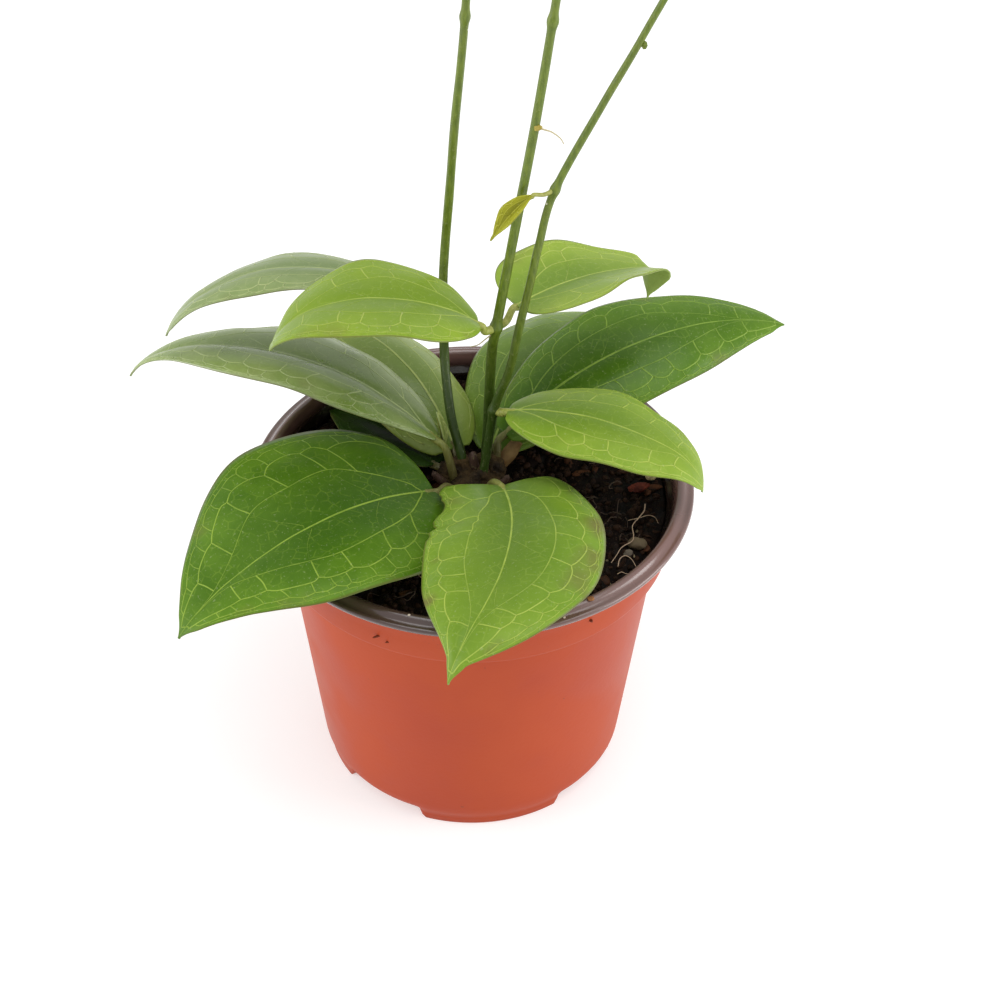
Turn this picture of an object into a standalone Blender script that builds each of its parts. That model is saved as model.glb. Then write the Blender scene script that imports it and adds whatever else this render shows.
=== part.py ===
"""Potted hoya: a thin nursery pot, its soil, and a plant with a woody crown, three vines and their leaves.

The values below are in millimetres and degrees; the scene is in metres. +Z is up, -Y is the front, and the origin
is the middle of the pot's base. Headings are plan angles from +X, turning towards +Y.
"""
import math
from dataclasses import dataclass

import bmesh
import bpy
from mathutils import Vector

MM = 0.001
MERGE = 0.00002          # metres; merge distance for turned shapes and tube caps
SEAT_GAP = 0.32          # clearance between a piece and what carries it
ROOT_NAME = "potted_hoya"

# ---------------------------------------------------------------- pot
POT_HEIGHT = 94.0
RIM_RADIUS = 60.0        # outer edge of the flange
CREST_RADIUS = 56.3      # top of the rolled rim
MOUTH_RADIUS = 55.2      # inner edge of the rim
RIM_DROP = 2.3           # the flange's edge lies this far under the crest
BAND_TOP_RADIUS = 55.3
BAND_LOW_RADIUS = 54.4
BAND_BOTTOM = 17.3       # depth of the band's lower edge under the crest
LEDGE_RADIUS = 51.0      # wall just under the band
WALL_FOOT_RADIUS = 43.4
FOOT_RADIUS = 42.0
FOOT_HEIGHT = 3.0
CORNER_HEIGHT = 6.4
WALL = 1.0
FOOT_WIDTH = 3.2
FLOOR_UNDERSIDE = 2.6
FLOOR_TOP = 3.6
PAD_RADIUS = 12.0        # centre pad, level with the foot
POT_STEPS = 48
NOTCH_ANGLES = (-36.0, 54.0, 144.0, 234.0)   # from the front, turning to the right
NOTCH_HEIGHT = 4.6
NOTCH_HALF_WIDTH = 12.6
NOTCH_SLANT = 2.0        # each end leans in by this much

# ---------------------------------------------------------------- soil
SOIL_TOP = 86.0
SOIL_LUMP = 0.9          # height of the lumps away from the crown
SOIL_RINGS = 5
SOIL_GAP = 0.4           # between soil and pot
CALM_RADIUS = 17.0       # the soil is level this far round the crown

# ---------------------------------------------------------------- crown
CROWN_CENTRE = (-0.3, 7.0)
CROWN_ROOT_RADIUS = 6.0
CROWN_ROOT_DEPTH = 13.0
CROWN_CLEAR = 0.35       # lumps start this far above the soil
# centre x, y, z, then half widths along x, y, z
CROWN_LUMPS = (
    (-0.3, 7.0, 87.5, 8.2, 7.4, 6.0),
    (-5.2, 7.6, 88.5, 5.0, 4.6, 5.2),
    (5.6, 8.8, 88.5, 4.6, 4.6, 5.6),
    (-1.6, 2.0, 87.5, 5.4, 3.6, 4.4),
    (3.0, 12.0, 87.6, 4.6, 3.8, 4.4),
    (-4.2, 11.0, 87.6, 3.4, 3.4, 4.2),
)

SIDES = 8                # of every tube
NODE_SWELL = 1.38        # a node's radius over the vine's


@dataclass(frozen=True)
class Vine:
    """A slim stem: hand-chosen points from the crown to the growing tip."""

    name: str
    points: tuple
    radius: float
    tip_radius: float
    nodes: tuple         # heights of the swollen nodes
    samples: int = 24


@dataclass(frozen=True)
class Leaf:
    """One blade on its petiole. The midrib is an arc that leaves the base and droops towards the tip."""

    name: str
    base: tuple          # where the blade starts
    stalk: tuple         # petiole points before the base; none where it grows from a vine's node
    heading: float
    rise: float          # slope of the midrib at the base
    droop: float         # how far the slope falls along the whole midrib
    length: float
    width: float
    tip_droop: float = 20.0      # further fall past tip_start
    tip_start: float = 0.72
    turn: float = 0.0            # sideways curve of the midrib
    roll: float = 0.0            # positive lifts the left side
    twist: float = 0.0
    camber: float = 25.0         # how far each half bends down towards its margin
    fold: float = 5.0            # how far the halves stand up from the midrib
    peak: float = 0.85           # under 1, the widest place is nearer the base
    fullness: float = 0.7        # smaller is blunter
    taper: float = 0.5           # how fine the tip is
    lobe: float = 0.0            # heart-shaped base
    lean: float = 0.0            # positive makes the left half wider
    wave: float = 0.6            # height of the waved margin
    waves: float = 2.5
    wave_start: float = 0.0
    bite: tuple = (0.0, 0.5, 0.1)    # right margin: depth as a share of the half width, place, spread
    thickness: float = 0.9
    stalk_radius: float = 1.25
    rows: int = 13
    columns: int = 8
    colour: tuple = (0.09, 0.22, 0.03)
    vine: str = ""               # the vine that carries it, and the height of its node there
    node: float = 0.0


VINES = (
    Vine("vine_left", ((-1.6, 7.0, 84.5), (-2.95, 8.0, 93.3), (-5.8, 12.0, 103.3), (-7.4, 17.0, 113.2),
                       (-8.1, 21.0, 122.7), (-8.2, 23.0, 143.5), (-6.3, 23.0, 171.7), (-5.0, 22.0, 190.7),
                       (-3.4, 21.0, 208.5), (-2.2, 20.0, 225.5), (-0.4, 18.6, 262.0), (2.6, 17.0, 305.0)),
         1.3, 0.75, (126.0, 221.0)),
    Vine("vine_middle", ((3.1, 8.4, 84.5), (3.8, 9.0, 98.9), (4.2, 9.3, 111.6), (4.9, 6.6, 131.0),
                         (5.9, 4.0, 140.5), (10.1, 4.0, 169.4), (14.7, 5.0, 200.2), (18.9, 6.0, 233.0),
                         (23.6, 7.6, 274.0), (27.0, 9.4, 312.0)),
         1.4, 0.75, (140.8, 228.0)),
    Vine("vine_right", ((2.0, 3.6, 84.5), (2.6, 4.0, 89.0), (4.3, 5.2, 102.3), (5.8, 5.6, 113.4),
                        (9.5, 4.6, 126.3), (11.9, 3.8, 141.0), (14.5, 3.6, 155.4), (16.4, 4.0, 166.5),
                        (20.0, 5.0, 182.2), (31.1, 6.0, 206.5), (39.9, 7.0, 224.6), (51.0, 8.6, 250.0),
                        (60.0, 10.0, 286.0)),
         1.2, 0.65, (112.0, 182.2)),
)

LEAVES = (
    Leaf("leaf_far_left", (-10.9, 22.9, 128.6), (), 169.5, 47.0, 98.5, 85.0, 27.0, tip_droop=22.5, tip_start=0.76,
         turn=28.5, roll=6.5, twist=15.0, camber=30.5, fold=6.0, peak=0.95, fullness=0.73, taper=0.31,
         lean=-0.09, colour=(0.13, 0.24, 0.07), vine="vine_left", node=125.0),
    Leaf("leaf_upper_left", (2.2, 1.4, 143.7), (), 192.0, 41.0, 77.0, 64.0, 40.5, tip_droop=44.0, tip_start=0.53,
         turn=-5.0, roll=-2.0, twist=19.5, camber=17.5, fold=9.5, peak=0.94, fullness=0.65, taper=0.22,
         lean=0.03, stalk_radius=1.15, colour=(0.28, 0.42, 0.04), vine="vine_middle", node=140.8),
    Leaf("leaf_mid_left", (-8.5, 6.1, 100.5), ((-5.0, 4.2, 88.6), (-6.6, 5.2, 96.0)), 151.5, 35.0, 62.0, 100.5,
         37.0, tip_droop=40.0, turn=27.5, roll=7.0, twist=11.5, camber=47.0, fold=18.0, peak=0.94, fullness=0.88,
         taper=0.65, lean=-0.1, colour=(0.12, 0.23, 0.06)),
    Leaf("leaf_back_left", (-4.4, 11.2, 92.4), ((-4.4, 10.6, 86.6),), 117.5, 42.0, 86.5, 86.0, 33.0,
         tip_droop=17.0, turn=32.5, roll=3.0, twist=6.5, camber=30.0, fold=-6.5, peak=0.65, fullness=0.65,
         lean=0.02, colour=(0.13, 0.25, 0.07)),
    Leaf("leaf_under_left", (-9.7, 8.3, 90.7), ((-6.0, 7.2, 88.2),), 136.0, 10.0, 20.0, 40.0, 27.0,
         tip_droop=12.0, turn=14.0, roll=20.0, twist=-10.0, camber=17.0, peak=0.73, rows=9,
         colour=(0.03, 0.08, 0.02)),
    Leaf("leaf_upper_right", (10.6, 8.8, 144.1), (), 40.5, 6.0, 34.5, 55.0, 33.0, tip_droop=215.0,
         tip_start=0.8, turn=-16.0, roll=1.0, twist=-21.5, camber=-2.5, fold=12.5, peak=0.64, fullness=0.69,
         lobe=0.03, stalk_radius=1.15, rows=15, colour=(0.15, 0.30, 0.04), vine="vine_middle", node=140.8),
    Leaf("leaf_right", (7.4, 12.6, 97.0), ((6.0, 9.8, 88.4), (6.6, 11.2, 93.4)), 35.0, 34.0, 56.0, 96.5, 36.0,
         tip_droop=7.0, turn=-16.0, roll=15.0, camber=33.0, fold=3.0, peak=0.84, fullness=0.72, taper=0.42,
         lean=0.05, colour=(0.06, 0.18, 0.02)),
    Leaf("leaf_back", (4.3, 13.8, 89.8), ((3.7, 12.8, 86.8),), 68.0, 37.0, 74.0, 78.0, 44.0, tip_droop=-20.0,
         turn=-15.0, roll=-7.0, camber=33.0, fold=2.0, peak=0.93, fullness=0.6, taper=0.54, lean=-0.05,
         twist=14.0, colour=(0.10, 0.22, 0.06)),
    Leaf("leaf_right_front", (8.5, 4.2, 113.4), (), -15.5, 18.5, 53.0, 64.0, 34.0, tip_droop=66.0,
         tip_start=0.68, turn=-7.5, roll=-2.5, twist=-4.0, camber=21.0, fold=0.5, peak=0.79, lean=0.08,
         colour=(0.22, 0.38, 0.04), vine="vine_right", node=112.0),
    Leaf("leaf_front", (7.9, -15.3, 103.7), ((3.6, -0.4, 87.4), (5.6, -6.6, 97.0)), -76.5, 23.5, 31.0, 86.5,
         46.5, tip_droop=74.0, tip_start=0.7, turn=-47.0, roll=-2.5, twist=15.0, camber=40.0, fold=12.5,
         peak=0.87, fullness=0.38, taper=1.43, lobe=0.18, lean=0.05, wave=0.9, waves=3.0,
         bite=(0.14, 0.2, 0.05), rows=16, columns=10, colour=(0.13, 0.30, 0.03)),
    Leaf("leaf_left_front", (-9.2, -10.2, 97.4), ((-3.8, 0.2, 87.4), (-6.8, -5.4, 94.4)), 214.5, 23.0, 52.0,
         87.0, 66.0, tip_droop=18.0, turn=10.0, roll=-5.0, twist=12.0, camber=17.0, fold=4.0, peak=0.68,
         fullness=0.76, taper=0.72, lobe=0.07, lean=-0.15, wave=0.8, rows=15, columns=10,
         colour=(0.08, 0.24, 0.02)),
    Leaf("leaf_young", (14.6, 0.6, 183.6), (), 196.0, 4.0, 62.0, 16.5, 6.4, tip_droop=10.0, turn=10.0,
         roll=-18.0, camber=10.0, fold=22.0, wave=0.2, thickness=0.6, stalk_radius=0.6, rows=8, columns=4,
         colour=(0.42, 0.50, 0.05), vine="vine_right", node=182.2),
    Leaf("bud_leaf", (-6.9, 8.7, 97.2), ((-6.2, 8.2, 92.0),), 90.0, 84.0, 8.0, 8.0, 3.4, tip_droop=0.0,
         camber=10.0, fold=26.0, wave=0.0, thickness=0.6, stalk_radius=0.6, rows=6, columns=4,
         colour=(0.30, 0.42, 0.08)),
)


# ---------------------------------------------------------------- scene helpers
def clear_scene():
    """Remove every object, so that the file can be run again in an open session."""
    for item in list(bpy.data.objects):
        bpy.data.objects.remove(item, do_unlink=True)
    for group in list(bpy.data.collections):
        bpy.data.collections.remove(group)


def new_collection(name):
    group = bpy.data.collections.new(name)
    bpy.context.scene.collection.children.link(group)
    return group


def finish(name, colour, roughness):
    """A plain Principled material in the piece's own colour."""
    material = bpy.data.materials.new(name)
    material.use_nodes = True
    shader = material.node_tree.nodes["Principled BSDF"]
    shader.inputs["Base Color"].default_value = (*colour, 1.0)
    shader.inputs["Roughness"].default_value = roughness
    shader.inputs["Metallic"].default_value = 0.0
    return material


def add_object(name, data, group):
    item = bpy.data.objects.new(name, data)
    group.objects.link(item)
    return item


def as_cutter(item):
    item.hide_render = True
    item.display_type = 'WIRE'
    return item


def shade(item, angle=35.0):
    item.data.shade_smooth()
    item.data.set_sharp_from_angle(angle=math.radians(angle))


# ---------------------------------------------------------------- shapes shared by several pieces
def turned(name, profile, steps, group):
    """Turn a profile of (radius, height) points, listed so that it runs down the outer side."""
    mesh = bpy.data.meshes.new(name)
    points = [(r * MM, 0.0, z * MM) for r, z in profile]
    mesh.from_pydata(points, [(i, i + 1) for i in range(len(points) - 1)], [])
    item = add_object(name, mesh, group)
    screw = item.modifiers.new("turn", 'SCREW')
    screw.axis = 'Z'
    screw.steps = steps
    screw.render_steps = steps
    screw.use_merge_vertices = True
    screw.merge_threshold = MERGE
    return item


def evaluated_mesh(item, name):
    graph = bpy.context.evaluated_depsgraph_get()
    return bpy.data.meshes.new_from_object(item.evaluated_get(graph), depsgraph=graph)


def smooth_path(points, samples):
    """Evenly counted points on a smooth curve through the given ones (Catmull-Rom)."""
    first, last = Vector(points[0]) * 2 - Vector(points[1]), Vector(points[-1]) * 2 - Vector(points[-2])
    ends = [first, *map(Vector, points), last]
    spans = len(points) - 1
    path = []
    for k in range(samples):
        place = k / (samples - 1) * spans
        i = min(int(place), spans - 1)
        t = place - i
        a, b, c, d = ends[i:i + 4]
        path.append(0.5 * (2 * b + (c - a) * t + (2 * a - 5 * b + 4 * c - d) * t ** 2
                           + (3 * b - a - 3 * c + d) * t ** 3))
    return path


def tube(name, path, radii, group):
    """A capped tube along a path, as a mesh: one curve with a bevel, its loose caps welded."""
    curve = bpy.data.curves.new(name, 'CURVE')
    curve.dimensions = '3D'
    curve.bevel_depth = MM
    curve.bevel_resolution = SIDES // 2 - 2
    curve.use_fill_caps = True
    spline = curve.splines.new('POLY')
    spline.points.add(len(path) - 1)
    for point, place, radius in zip(spline.points, path, radii):
        point.co = (*(Vector(place) * MM), 1.0)
        point.radius = radius
    guide = add_object(name + "_curve", curve, group)
    mesh = evaluated_mesh(guide, name)
    bpy.data.objects.remove(guide, do_unlink=True)
    shell = bmesh.new()
    shell.from_mesh(mesh)
    bmesh.ops.remove_doubles(shell, verts=shell.verts, dist=MERGE)
    bmesh.ops.recalc_face_normals(shell, faces=shell.faces)
    shell.to_mesh(mesh)
    shell.free()
    return add_object(name, mesh, group)


# ---------------------------------------------------------------- pot
def pot_profile():
    """From the middle of the floor's top, up inside, over the rim, down outside and back under the floor."""
    top = POT_HEIGHT
    band_low = top - BAND_BOTTOM
    inner_ledge = LEDGE_RADIUS - WALL
    return [
        (0.0, FLOOR_TOP), (FOOT_RADIUS - FOOT_WIDTH, FLOOR_TOP), (WALL_FOOT_RADIUS - WALL - 0.4, CORNER_HEIGHT),
        (inner_ledge, band_low - 0.6), (BAND_LOW_RADIUS - WALL, band_low + 0.8),
        (BAND_TOP_RADIUS - WALL - 1.6, top - 6.4), (BAND_TOP_RADIUS - WALL - 0.1, top - 5.6),
        (MOUTH_RADIUS, top - 0.9), (CREST_RADIUS, top),
        (CREST_RADIUS + 0.9, top - 0.25), (RIM_RADIUS - 1.1, top - 1.5), (RIM_RADIUS - 0.5, top - 1.35),
        (RIM_RADIUS, top - RIM_DROP), (RIM_RADIUS - 0.3, top - RIM_DROP - 0.7),
        (CREST_RADIUS + 0.7, top - 2.6), (CREST_RADIUS + 0.7, top - 5.2), (BAND_TOP_RADIUS, top - 6.0),
        (BAND_LOW_RADIUS, band_low), (LEDGE_RADIUS + 0.3, band_low - 1.0), (LEDGE_RADIUS, band_low - 2.0),
        (WALL_FOOT_RADIUS, CORNER_HEIGHT), (WALL_FOOT_RADIUS - 0.5, CORNER_HEIGHT - 1.9),
        (FOOT_RADIUS + 0.1, FOOT_HEIGHT), (FOOT_RADIUS, 0.0), (FOOT_RADIUS - FOOT_WIDTH, 0.0),
        (FOOT_RADIUS - FOOT_WIDTH - 0.6, FLOOR_UNDERSIDE), (PAD_RADIUS + 1.2, FLOOR_UNDERSIDE),
        (PAD_RADIUS, 0.0), (0.0, 0.0),
    ]


def notch_cutter(angle, group):
    """A wedge under the foot whose ends lean in, set at an angle from the front."""
    shape = bmesh.new()
    bmesh.ops.create_cube(shape, size=1.0)
    depth = 12.0
    for corner in shape.verts:
        upper = corner.co.z > 0
        half = NOTCH_HALF_WIDTH - (NOTCH_SLANT if upper else -NOTCH_SLANT)
        reach = FOOT_RADIUS + (depth / 2 if corner.co.y < 0 else -FOOT_WIDTH - 1.5)
        height = NOTCH_HEIGHT if upper else -1.0
        inside = corner.co.y > 0
        corner.co = Vector((math.copysign(half, corner.co.x), -reach, height - (2.4 if inside and upper else 0.0))) * MM
    mesh = bpy.data.meshes.new("notch")
    shape.to_mesh(mesh)
    shape.free()
    item = as_cutter(add_object("notch_cutter", mesh, group))
    item.rotation_euler.z = math.radians(angle)
    return item


def make_pot(group, cutters):
    item = turned("pot", pot_profile(), POT_STEPS, group)
    for angle in NOTCH_ANGLES:
        notch_cutter(angle, cutters)
    cut = item.modifiers.new("drain_notches", 'BOOLEAN')
    cut.operation = 'DIFFERENCE'
    cut.operand_type = 'COLLECTION'
    cut.collection = cutters
    cut.solver = 'EXACT'
    item.data.materials.append(finish("pot_plastic", (0.50, 0.075, 0.032), 0.45))
    return item


# ---------------------------------------------------------------- soil
def soil_height(x, y):
    """Lumps of potting mix, fading out to level ground round the crown."""
    away = math.hypot(x - CROWN_CENTRE[0], y - CROWN_CENTRE[1])
    ease = min(1.0, max(0.0, (away - CALM_RADIUS) / 8.0))
    lumps = math.sin(0.31 * x + 1.3) * math.cos(0.27 * y - 0.4) + 0.5 * math.sin(0.55 * x - 0.47 * y)
    return SOIL_LUMP * ease * lumps


def inner_radius(height):
    """Radius of the pot's inner wall at a height in its tapering part."""
    low, high = CORNER_HEIGHT, POT_HEIGHT - BAND_BOTTOM - 0.6
    share = (height - low) / (high - low)
    return WALL_FOOT_RADIUS - WALL - 0.4 + share * (LEDGE_RADIUS - WALL_FOOT_RADIUS + 0.4)


def make_soil(group, cutters):
    band_low = POT_HEIGHT - BAND_BOTTOM
    bottom = FLOOR_TOP + SOIL_GAP
    edge = BAND_TOP_RADIUS - WALL - 1.6 - SOIL_GAP
    profile = [(edge * k / SOIL_RINGS, SOIL_TOP) for k in range(SOIL_RINGS + 1)]
    profile += [(edge, band_low + 1.3), (inner_radius(band_low) - SOIL_GAP, band_low),
                (inner_radius(CORNER_HEIGHT) - SOIL_GAP - 0.2, CORNER_HEIGHT + 0.6),
                (FOOT_RADIUS - FOOT_WIDTH - SOIL_GAP, bottom), (0.0, bottom)]
    guide = turned("soil_turned", profile, POT_STEPS, group)
    mesh = evaluated_mesh(guide, "soil")
    bpy.data.objects.remove(guide, do_unlink=True)
    item = add_object("soil", mesh, group)
    for corner in mesh.vertices:
        x, y, z = corner.co / MM
        if z > SOIL_TOP - 0.01 and math.hypot(x, y) < edge - 0.5:
            corner.co.z += soil_height(x, y) * MM
    bpy.ops.mesh.primitive_cylinder_add(vertices=24, radius=(CROWN_ROOT_RADIUS + SEAT_GAP) * MM,
                                        depth=2 * (CROWN_ROOT_DEPTH + SEAT_GAP) * MM,
                                        location=(CROWN_CENTRE[0] * MM, CROWN_CENTRE[1] * MM, SOIL_TOP * MM))
    hole = as_cutter(bpy.context.object)
    hole.name = "root_hole"
    move_to(hole, cutters)
    cut = item.modifiers.new("root_hole", 'BOOLEAN')
    cut.operation = 'DIFFERENCE'
    cut.object = hole
    cut.solver = 'EXACT'
    item.data.materials.append(finish("potting_soil", (0.012, 0.008, 0.005), 0.95))
    return item


def move_to(item, group):
    for owner in list(item.users_collection):
        owner.objects.unlink(item)
    group.objects.link(item)


# ---------------------------------------------------------------- vines
def vine_radii(vine, path):
    """Even thickness, swollen at each node, drawn out to a slim tip."""
    heights = [place.z for place in path]
    top, start = heights[-1], heights[0]
    radii = []
    for z in heights:
        along = (z - start) / (top - start)
        radius = vine.radius + (vine.tip_radius - vine.radius) * along ** 1.5
        radius *= 1.0 - 0.55 * max(0.0, (along - 0.94) / 0.06) ** 2
        swelling = sum(math.exp(-((z - node) / 1.9) ** 2) for node in vine.nodes)
        radii.append(radius * (1.0 + (NODE_SWELL - 1.0) * swelling))
    return radii


def vine_path(vine):
    """Smooth points, with a few more at each node so that its swelling shows."""
    path = smooth_path(vine.points, vine.samples)
    fine = smooth_path(vine.points, vine.samples * 12)
    kept = list(path)
    for node in vine.nodes:
        kept = [place for place in kept if abs(place.z - node) > 4.2]
        for step in (-3.6, -1.7, 0.0, 1.7, 3.6):
            kept.append(min(fine, key=lambda place: abs(place.z - node - step)))
    return sorted(kept, key=lambda place: place.z)


def make_vine(vine, group):
    path = vine_path(vine)
    return tube(vine.name, path, vine_radii(vine, path), group)


# ---------------------------------------------------------------- leaves
def midrib_frames(leaf, steps=120, before=24):
    """Points and directions along the midrib, from a little before the base to the tip."""
    step = 1.0 / steps
    frames = []
    for k in range(-before, steps + 1):
        s = k * step
        t = max(0.0, s)
        hook = max(0.0, (s - leaf.tip_start) / (1.0 - leaf.tip_start)) ** 2
        slope = math.radians(leaf.rise - leaf.droop * t - leaf.tip_droop * hook)
        heading = math.radians(leaf.heading + leaf.turn * t)
        roll = math.radians(leaf.roll + leaf.twist * t)
        along = Vector((math.cos(slope) * math.cos(heading), math.cos(slope) * math.sin(heading), math.sin(slope)))
        left = Vector((-math.sin(heading), math.cos(heading), 0.0))
        up = along.cross(left)
        side = left * math.cos(roll) + up * math.sin(roll)
        frames.append([s, None, side, along.cross(side), along])
    base = before
    frames[base][1] = Vector(leaf.base)
    for k in range(base + 1, len(frames)):
        middle = (frames[k][4] + frames[k - 1][4]) / 2
        frames[k][1] = frames[k - 1][1] + middle * step * leaf.length
    for k in range(base - 1, -1, -1):
        frames[k][1] = frames[k + 1][1] - frames[k][4] * step * leaf.length
    return frames


def at(frames, s):
    """The midrib's point, side and normal at a share of its length."""
    step = frames[1][0] - frames[0][0]
    place = min(max((s - frames[0][0]) / step, 0.0), len(frames) - 1.001)
    i = int(place)
    t = place - i
    return [frames[i][k].lerp(frames[i + 1][k], t) for k in (1, 2, 3)]


def half_width(leaf, t):
    """Half the blade's width, as a share of its greatest, before the sides are told apart."""
    return math.sin(math.pi * t ** leaf.peak) ** leaf.fullness * (1.0 - leaf.taper * t ** 7)


def blade_point(leaf, frames, widest, t, u):
    """A point of the blade's top: t runs from base to tip, and u from the right margin (-1) to the left (1)."""
    reach = abs(u)
    lobe_end = 0.10
    back = leaf.lobe * (t / lobe_end) * math.exp(1.0 - t / lobe_end) * reach
    point, side, normal = at(frames, t - back)
    half = max(0.35, leaf.width / 2 * half_width(leaf, t) / widest)
    depth, place, spread = leaf.bite
    if u < 0:
        half *= 1.0 - depth * math.exp(-((t - place) / spread) ** 2)
    parts = 6
    out = rise = 0.0
    for k in range(parts):
        angle = math.radians(leaf.fold - leaf.camber * (k + 0.5) / parts * reach)
        out += math.cos(angle) / parts
        rise += math.sin(angle) / parts
    swell = leaf.wave * reach ** 3 * math.sin(math.pi * t) * math.sin(
        2 * math.pi * (leaf.waves * t + leaf.wave_start) + (1.1 if u > 0 else 0.0))
    toward = math.copysign(1.0, u)
    across = out * reach * half * toward * (1.0 + leaf.lean * toward)
    return point + side * across + normal * (rise * reach * half + swell)


def blade_sheet(leaf, group):
    """The blade's top face: a grid bent to its shape and split into triangles the same way throughout."""
    frames = midrib_frames(leaf)
    widest = max(half_width(leaf, k / 200) for k in range(1, 200))
    first, last = 0.018, 0.988
    sheet = bmesh.new()
    bmesh.ops.create_grid(sheet, x_segments=leaf.rows, y_segments=leaf.columns, size=1.0)
    for corner in sheet.verts:
        even = (corner.co.x + 1) / 2
        eased = 0.6 * (0.5 - 0.5 * math.cos(math.pi * even)) + 0.4 * even
        u = corner.co.y
        corner.co = blade_point(leaf, frames, widest, first + (last - first) * eased, u) * MM
    bmesh.ops.triangulate(sheet, faces=sheet.faces, quad_method='FIXED')
    bmesh.ops.recalc_face_normals(sheet, faces=sheet.faces)
    up = sum((face.normal * face.calc_area() for face in sheet.faces), Vector())
    middle = at(frames, 0.4)[2]
    if up.dot(middle) < 0:
        bmesh.ops.reverse_faces(sheet, faces=sheet.faces)
    mesh = bpy.data.meshes.new(leaf.name)
    sheet.to_mesh(mesh)
    sheet.free()
    return add_object(leaf.name, mesh, group)


def seat_on_vine(leaf):
    """Two points level with the node: one just clear of the vine, and one further out towards the blade."""
    vine = next(stem for stem in VINES if stem.name == leaf.vine)
    axis = min(smooth_path(vine.points, 400), key=lambda place: abs(place.z - leaf.node))
    out = (Vector(leaf.base) - axis) * Vector((1.0, 1.0, 0.0))
    reach = out.length
    out.normalize()
    start = vine.radius * NODE_SWELL + SEAT_GAP
    return [axis + out * start, axis + out * min(start + 1.5, (start + reach) / 2)]


def stalk_start(leaf):
    return [Vector(place) for place in leaf.stalk] if leaf.stalk else seat_on_vine(leaf)


def stalk_path(leaf):
    """The petiole's route: its start, the blade's base, and a short run inside the midrib."""
    frames = midrib_frames(leaf)
    base, _, normal = at(frames, 0.0)
    inner, _, inner_normal = at(frames, 0.045)
    sink = leaf.thickness * 0.5
    return stalk_start(leaf) + [base - normal * sink, inner - inner_normal * sink]


def stalk_radii(leaf, count):
    end = leaf.thickness * 0.62
    return [leaf.stalk_radius] * (count - 1) + [min(end, leaf.stalk_radius)]


def make_leaf(leaf, group, spare):
    blade = blade_sheet(leaf, group)
    skin = blade.modifiers.new("thickness", 'SOLIDIFY')
    skin.thickness = leaf.thickness * MM
    skin.offset = -1.0
    path = stalk_path(leaf)
    stalk = as_cutter(tube(leaf.name + "_stalk", path, stalk_radii(leaf, len(path)), spare))
    join = blade.modifiers.new("stalk", 'BOOLEAN')
    join.operation = 'UNION'
    join.object = stalk
    join.solver = 'EXACT'
    blade.data.materials.append(finish(leaf.name + "_green", leaf.colour, 0.4))
    return blade


# ---------------------------------------------------------------- crown
def make_crown(group, lumps, sockets):
    """Knobs of old wood fused on a root stub, trimmed above the soil, with a socket for each stem and stalk."""
    bpy.ops.mesh.primitive_cylinder_add(vertices=16, radius=CROWN_ROOT_RADIUS * MM, depth=(CROWN_ROOT_DEPTH + 2.0) * MM,
                                        location=(CROWN_CENTRE[0] * MM, CROWN_CENTRE[1] * MM,
                                                  (SOIL_TOP - CROWN_ROOT_DEPTH / 2 + 1.0) * MM))
    item = bpy.context.object
    item.name = "woody_crown"
    move_to(item, group)
    for x, y, z, wide, deep, tall in CROWN_LUMPS:
        bpy.ops.mesh.primitive_ico_sphere_add(subdivisions=2, radius=MM, location=(x * MM, y * MM, z * MM))
        lump = as_cutter(bpy.context.object)
        lump.name = "crown_lump"
        lump.scale = (wide, deep, tall)
        move_to(lump, lumps)
        trim_below(lump, (SOIL_TOP + CROWN_CLEAR) * MM)
    fuse = item.modifiers.new("knobs", 'BOOLEAN')
    fuse.operation = 'UNION'
    fuse.operand_type = 'COLLECTION'
    fuse.collection = lumps
    fuse.solver = 'EXACT'
    cut = item.modifiers.new("sockets", 'BOOLEAN')
    cut.operation = 'DIFFERENCE'
    cut.operand_type = 'COLLECTION'
    cut.collection = sockets
    cut.solver = 'EXACT'
    item.data.materials.append(finish("old_wood", (0.16, 0.085, 0.035), 0.85))
    return item


def trim_below(item, height):
    """Apply an object's place to its mesh and cut away what lies under a height, closing the cut."""
    item.data.transform(item.matrix_basis)
    item.matrix_basis.identity()
    shape = bmesh.new()
    shape.from_mesh(item.data)
    everything = shape.verts[:] + shape.edges[:] + shape.faces[:]
    cut = bmesh.ops.bisect_plane(shape, geom=everything, plane_co=(0, 0, height), plane_no=(0, 0, -1),
                                 clear_outer=True, dist=MERGE * 0.1)
    rim = [part for part in cut["geom_cut"] if isinstance(part, bmesh.types.BMEdge)]
    bmesh.ops.holes_fill(shape, edges=rim)
    bmesh.ops.recalc_face_normals(shape, faces=shape.faces)
    shape.to_mesh(item.data)
    shape.free()


def make_sockets(group):
    """Fatter copies of the stems' feet and the crown leaves' stalks, which cut their seats in the crown."""
    for vine in VINES:
        foot = [place for place in vine_path(vine) if place.z < SOIL_TOP + 20.0]
        foot.insert(0, foot[0] + (foot[0] - foot[1]).normalized() * SEAT_GAP)
        as_cutter(tube(vine.name + "_socket", foot, [vine.radius + 0.2 + SEAT_GAP] * len(foot), group))
    for leaf in LEAVES:
        if leaf.vine:
            continue
        path = stalk_path(leaf)
        path.insert(0, path[0] + (path[0] - path[1]).normalized() * SEAT_GAP)
        as_cutter(tube(leaf.name + "_socket", path, [leaf.stalk_radius + SEAT_GAP] * len(path), group))


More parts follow.
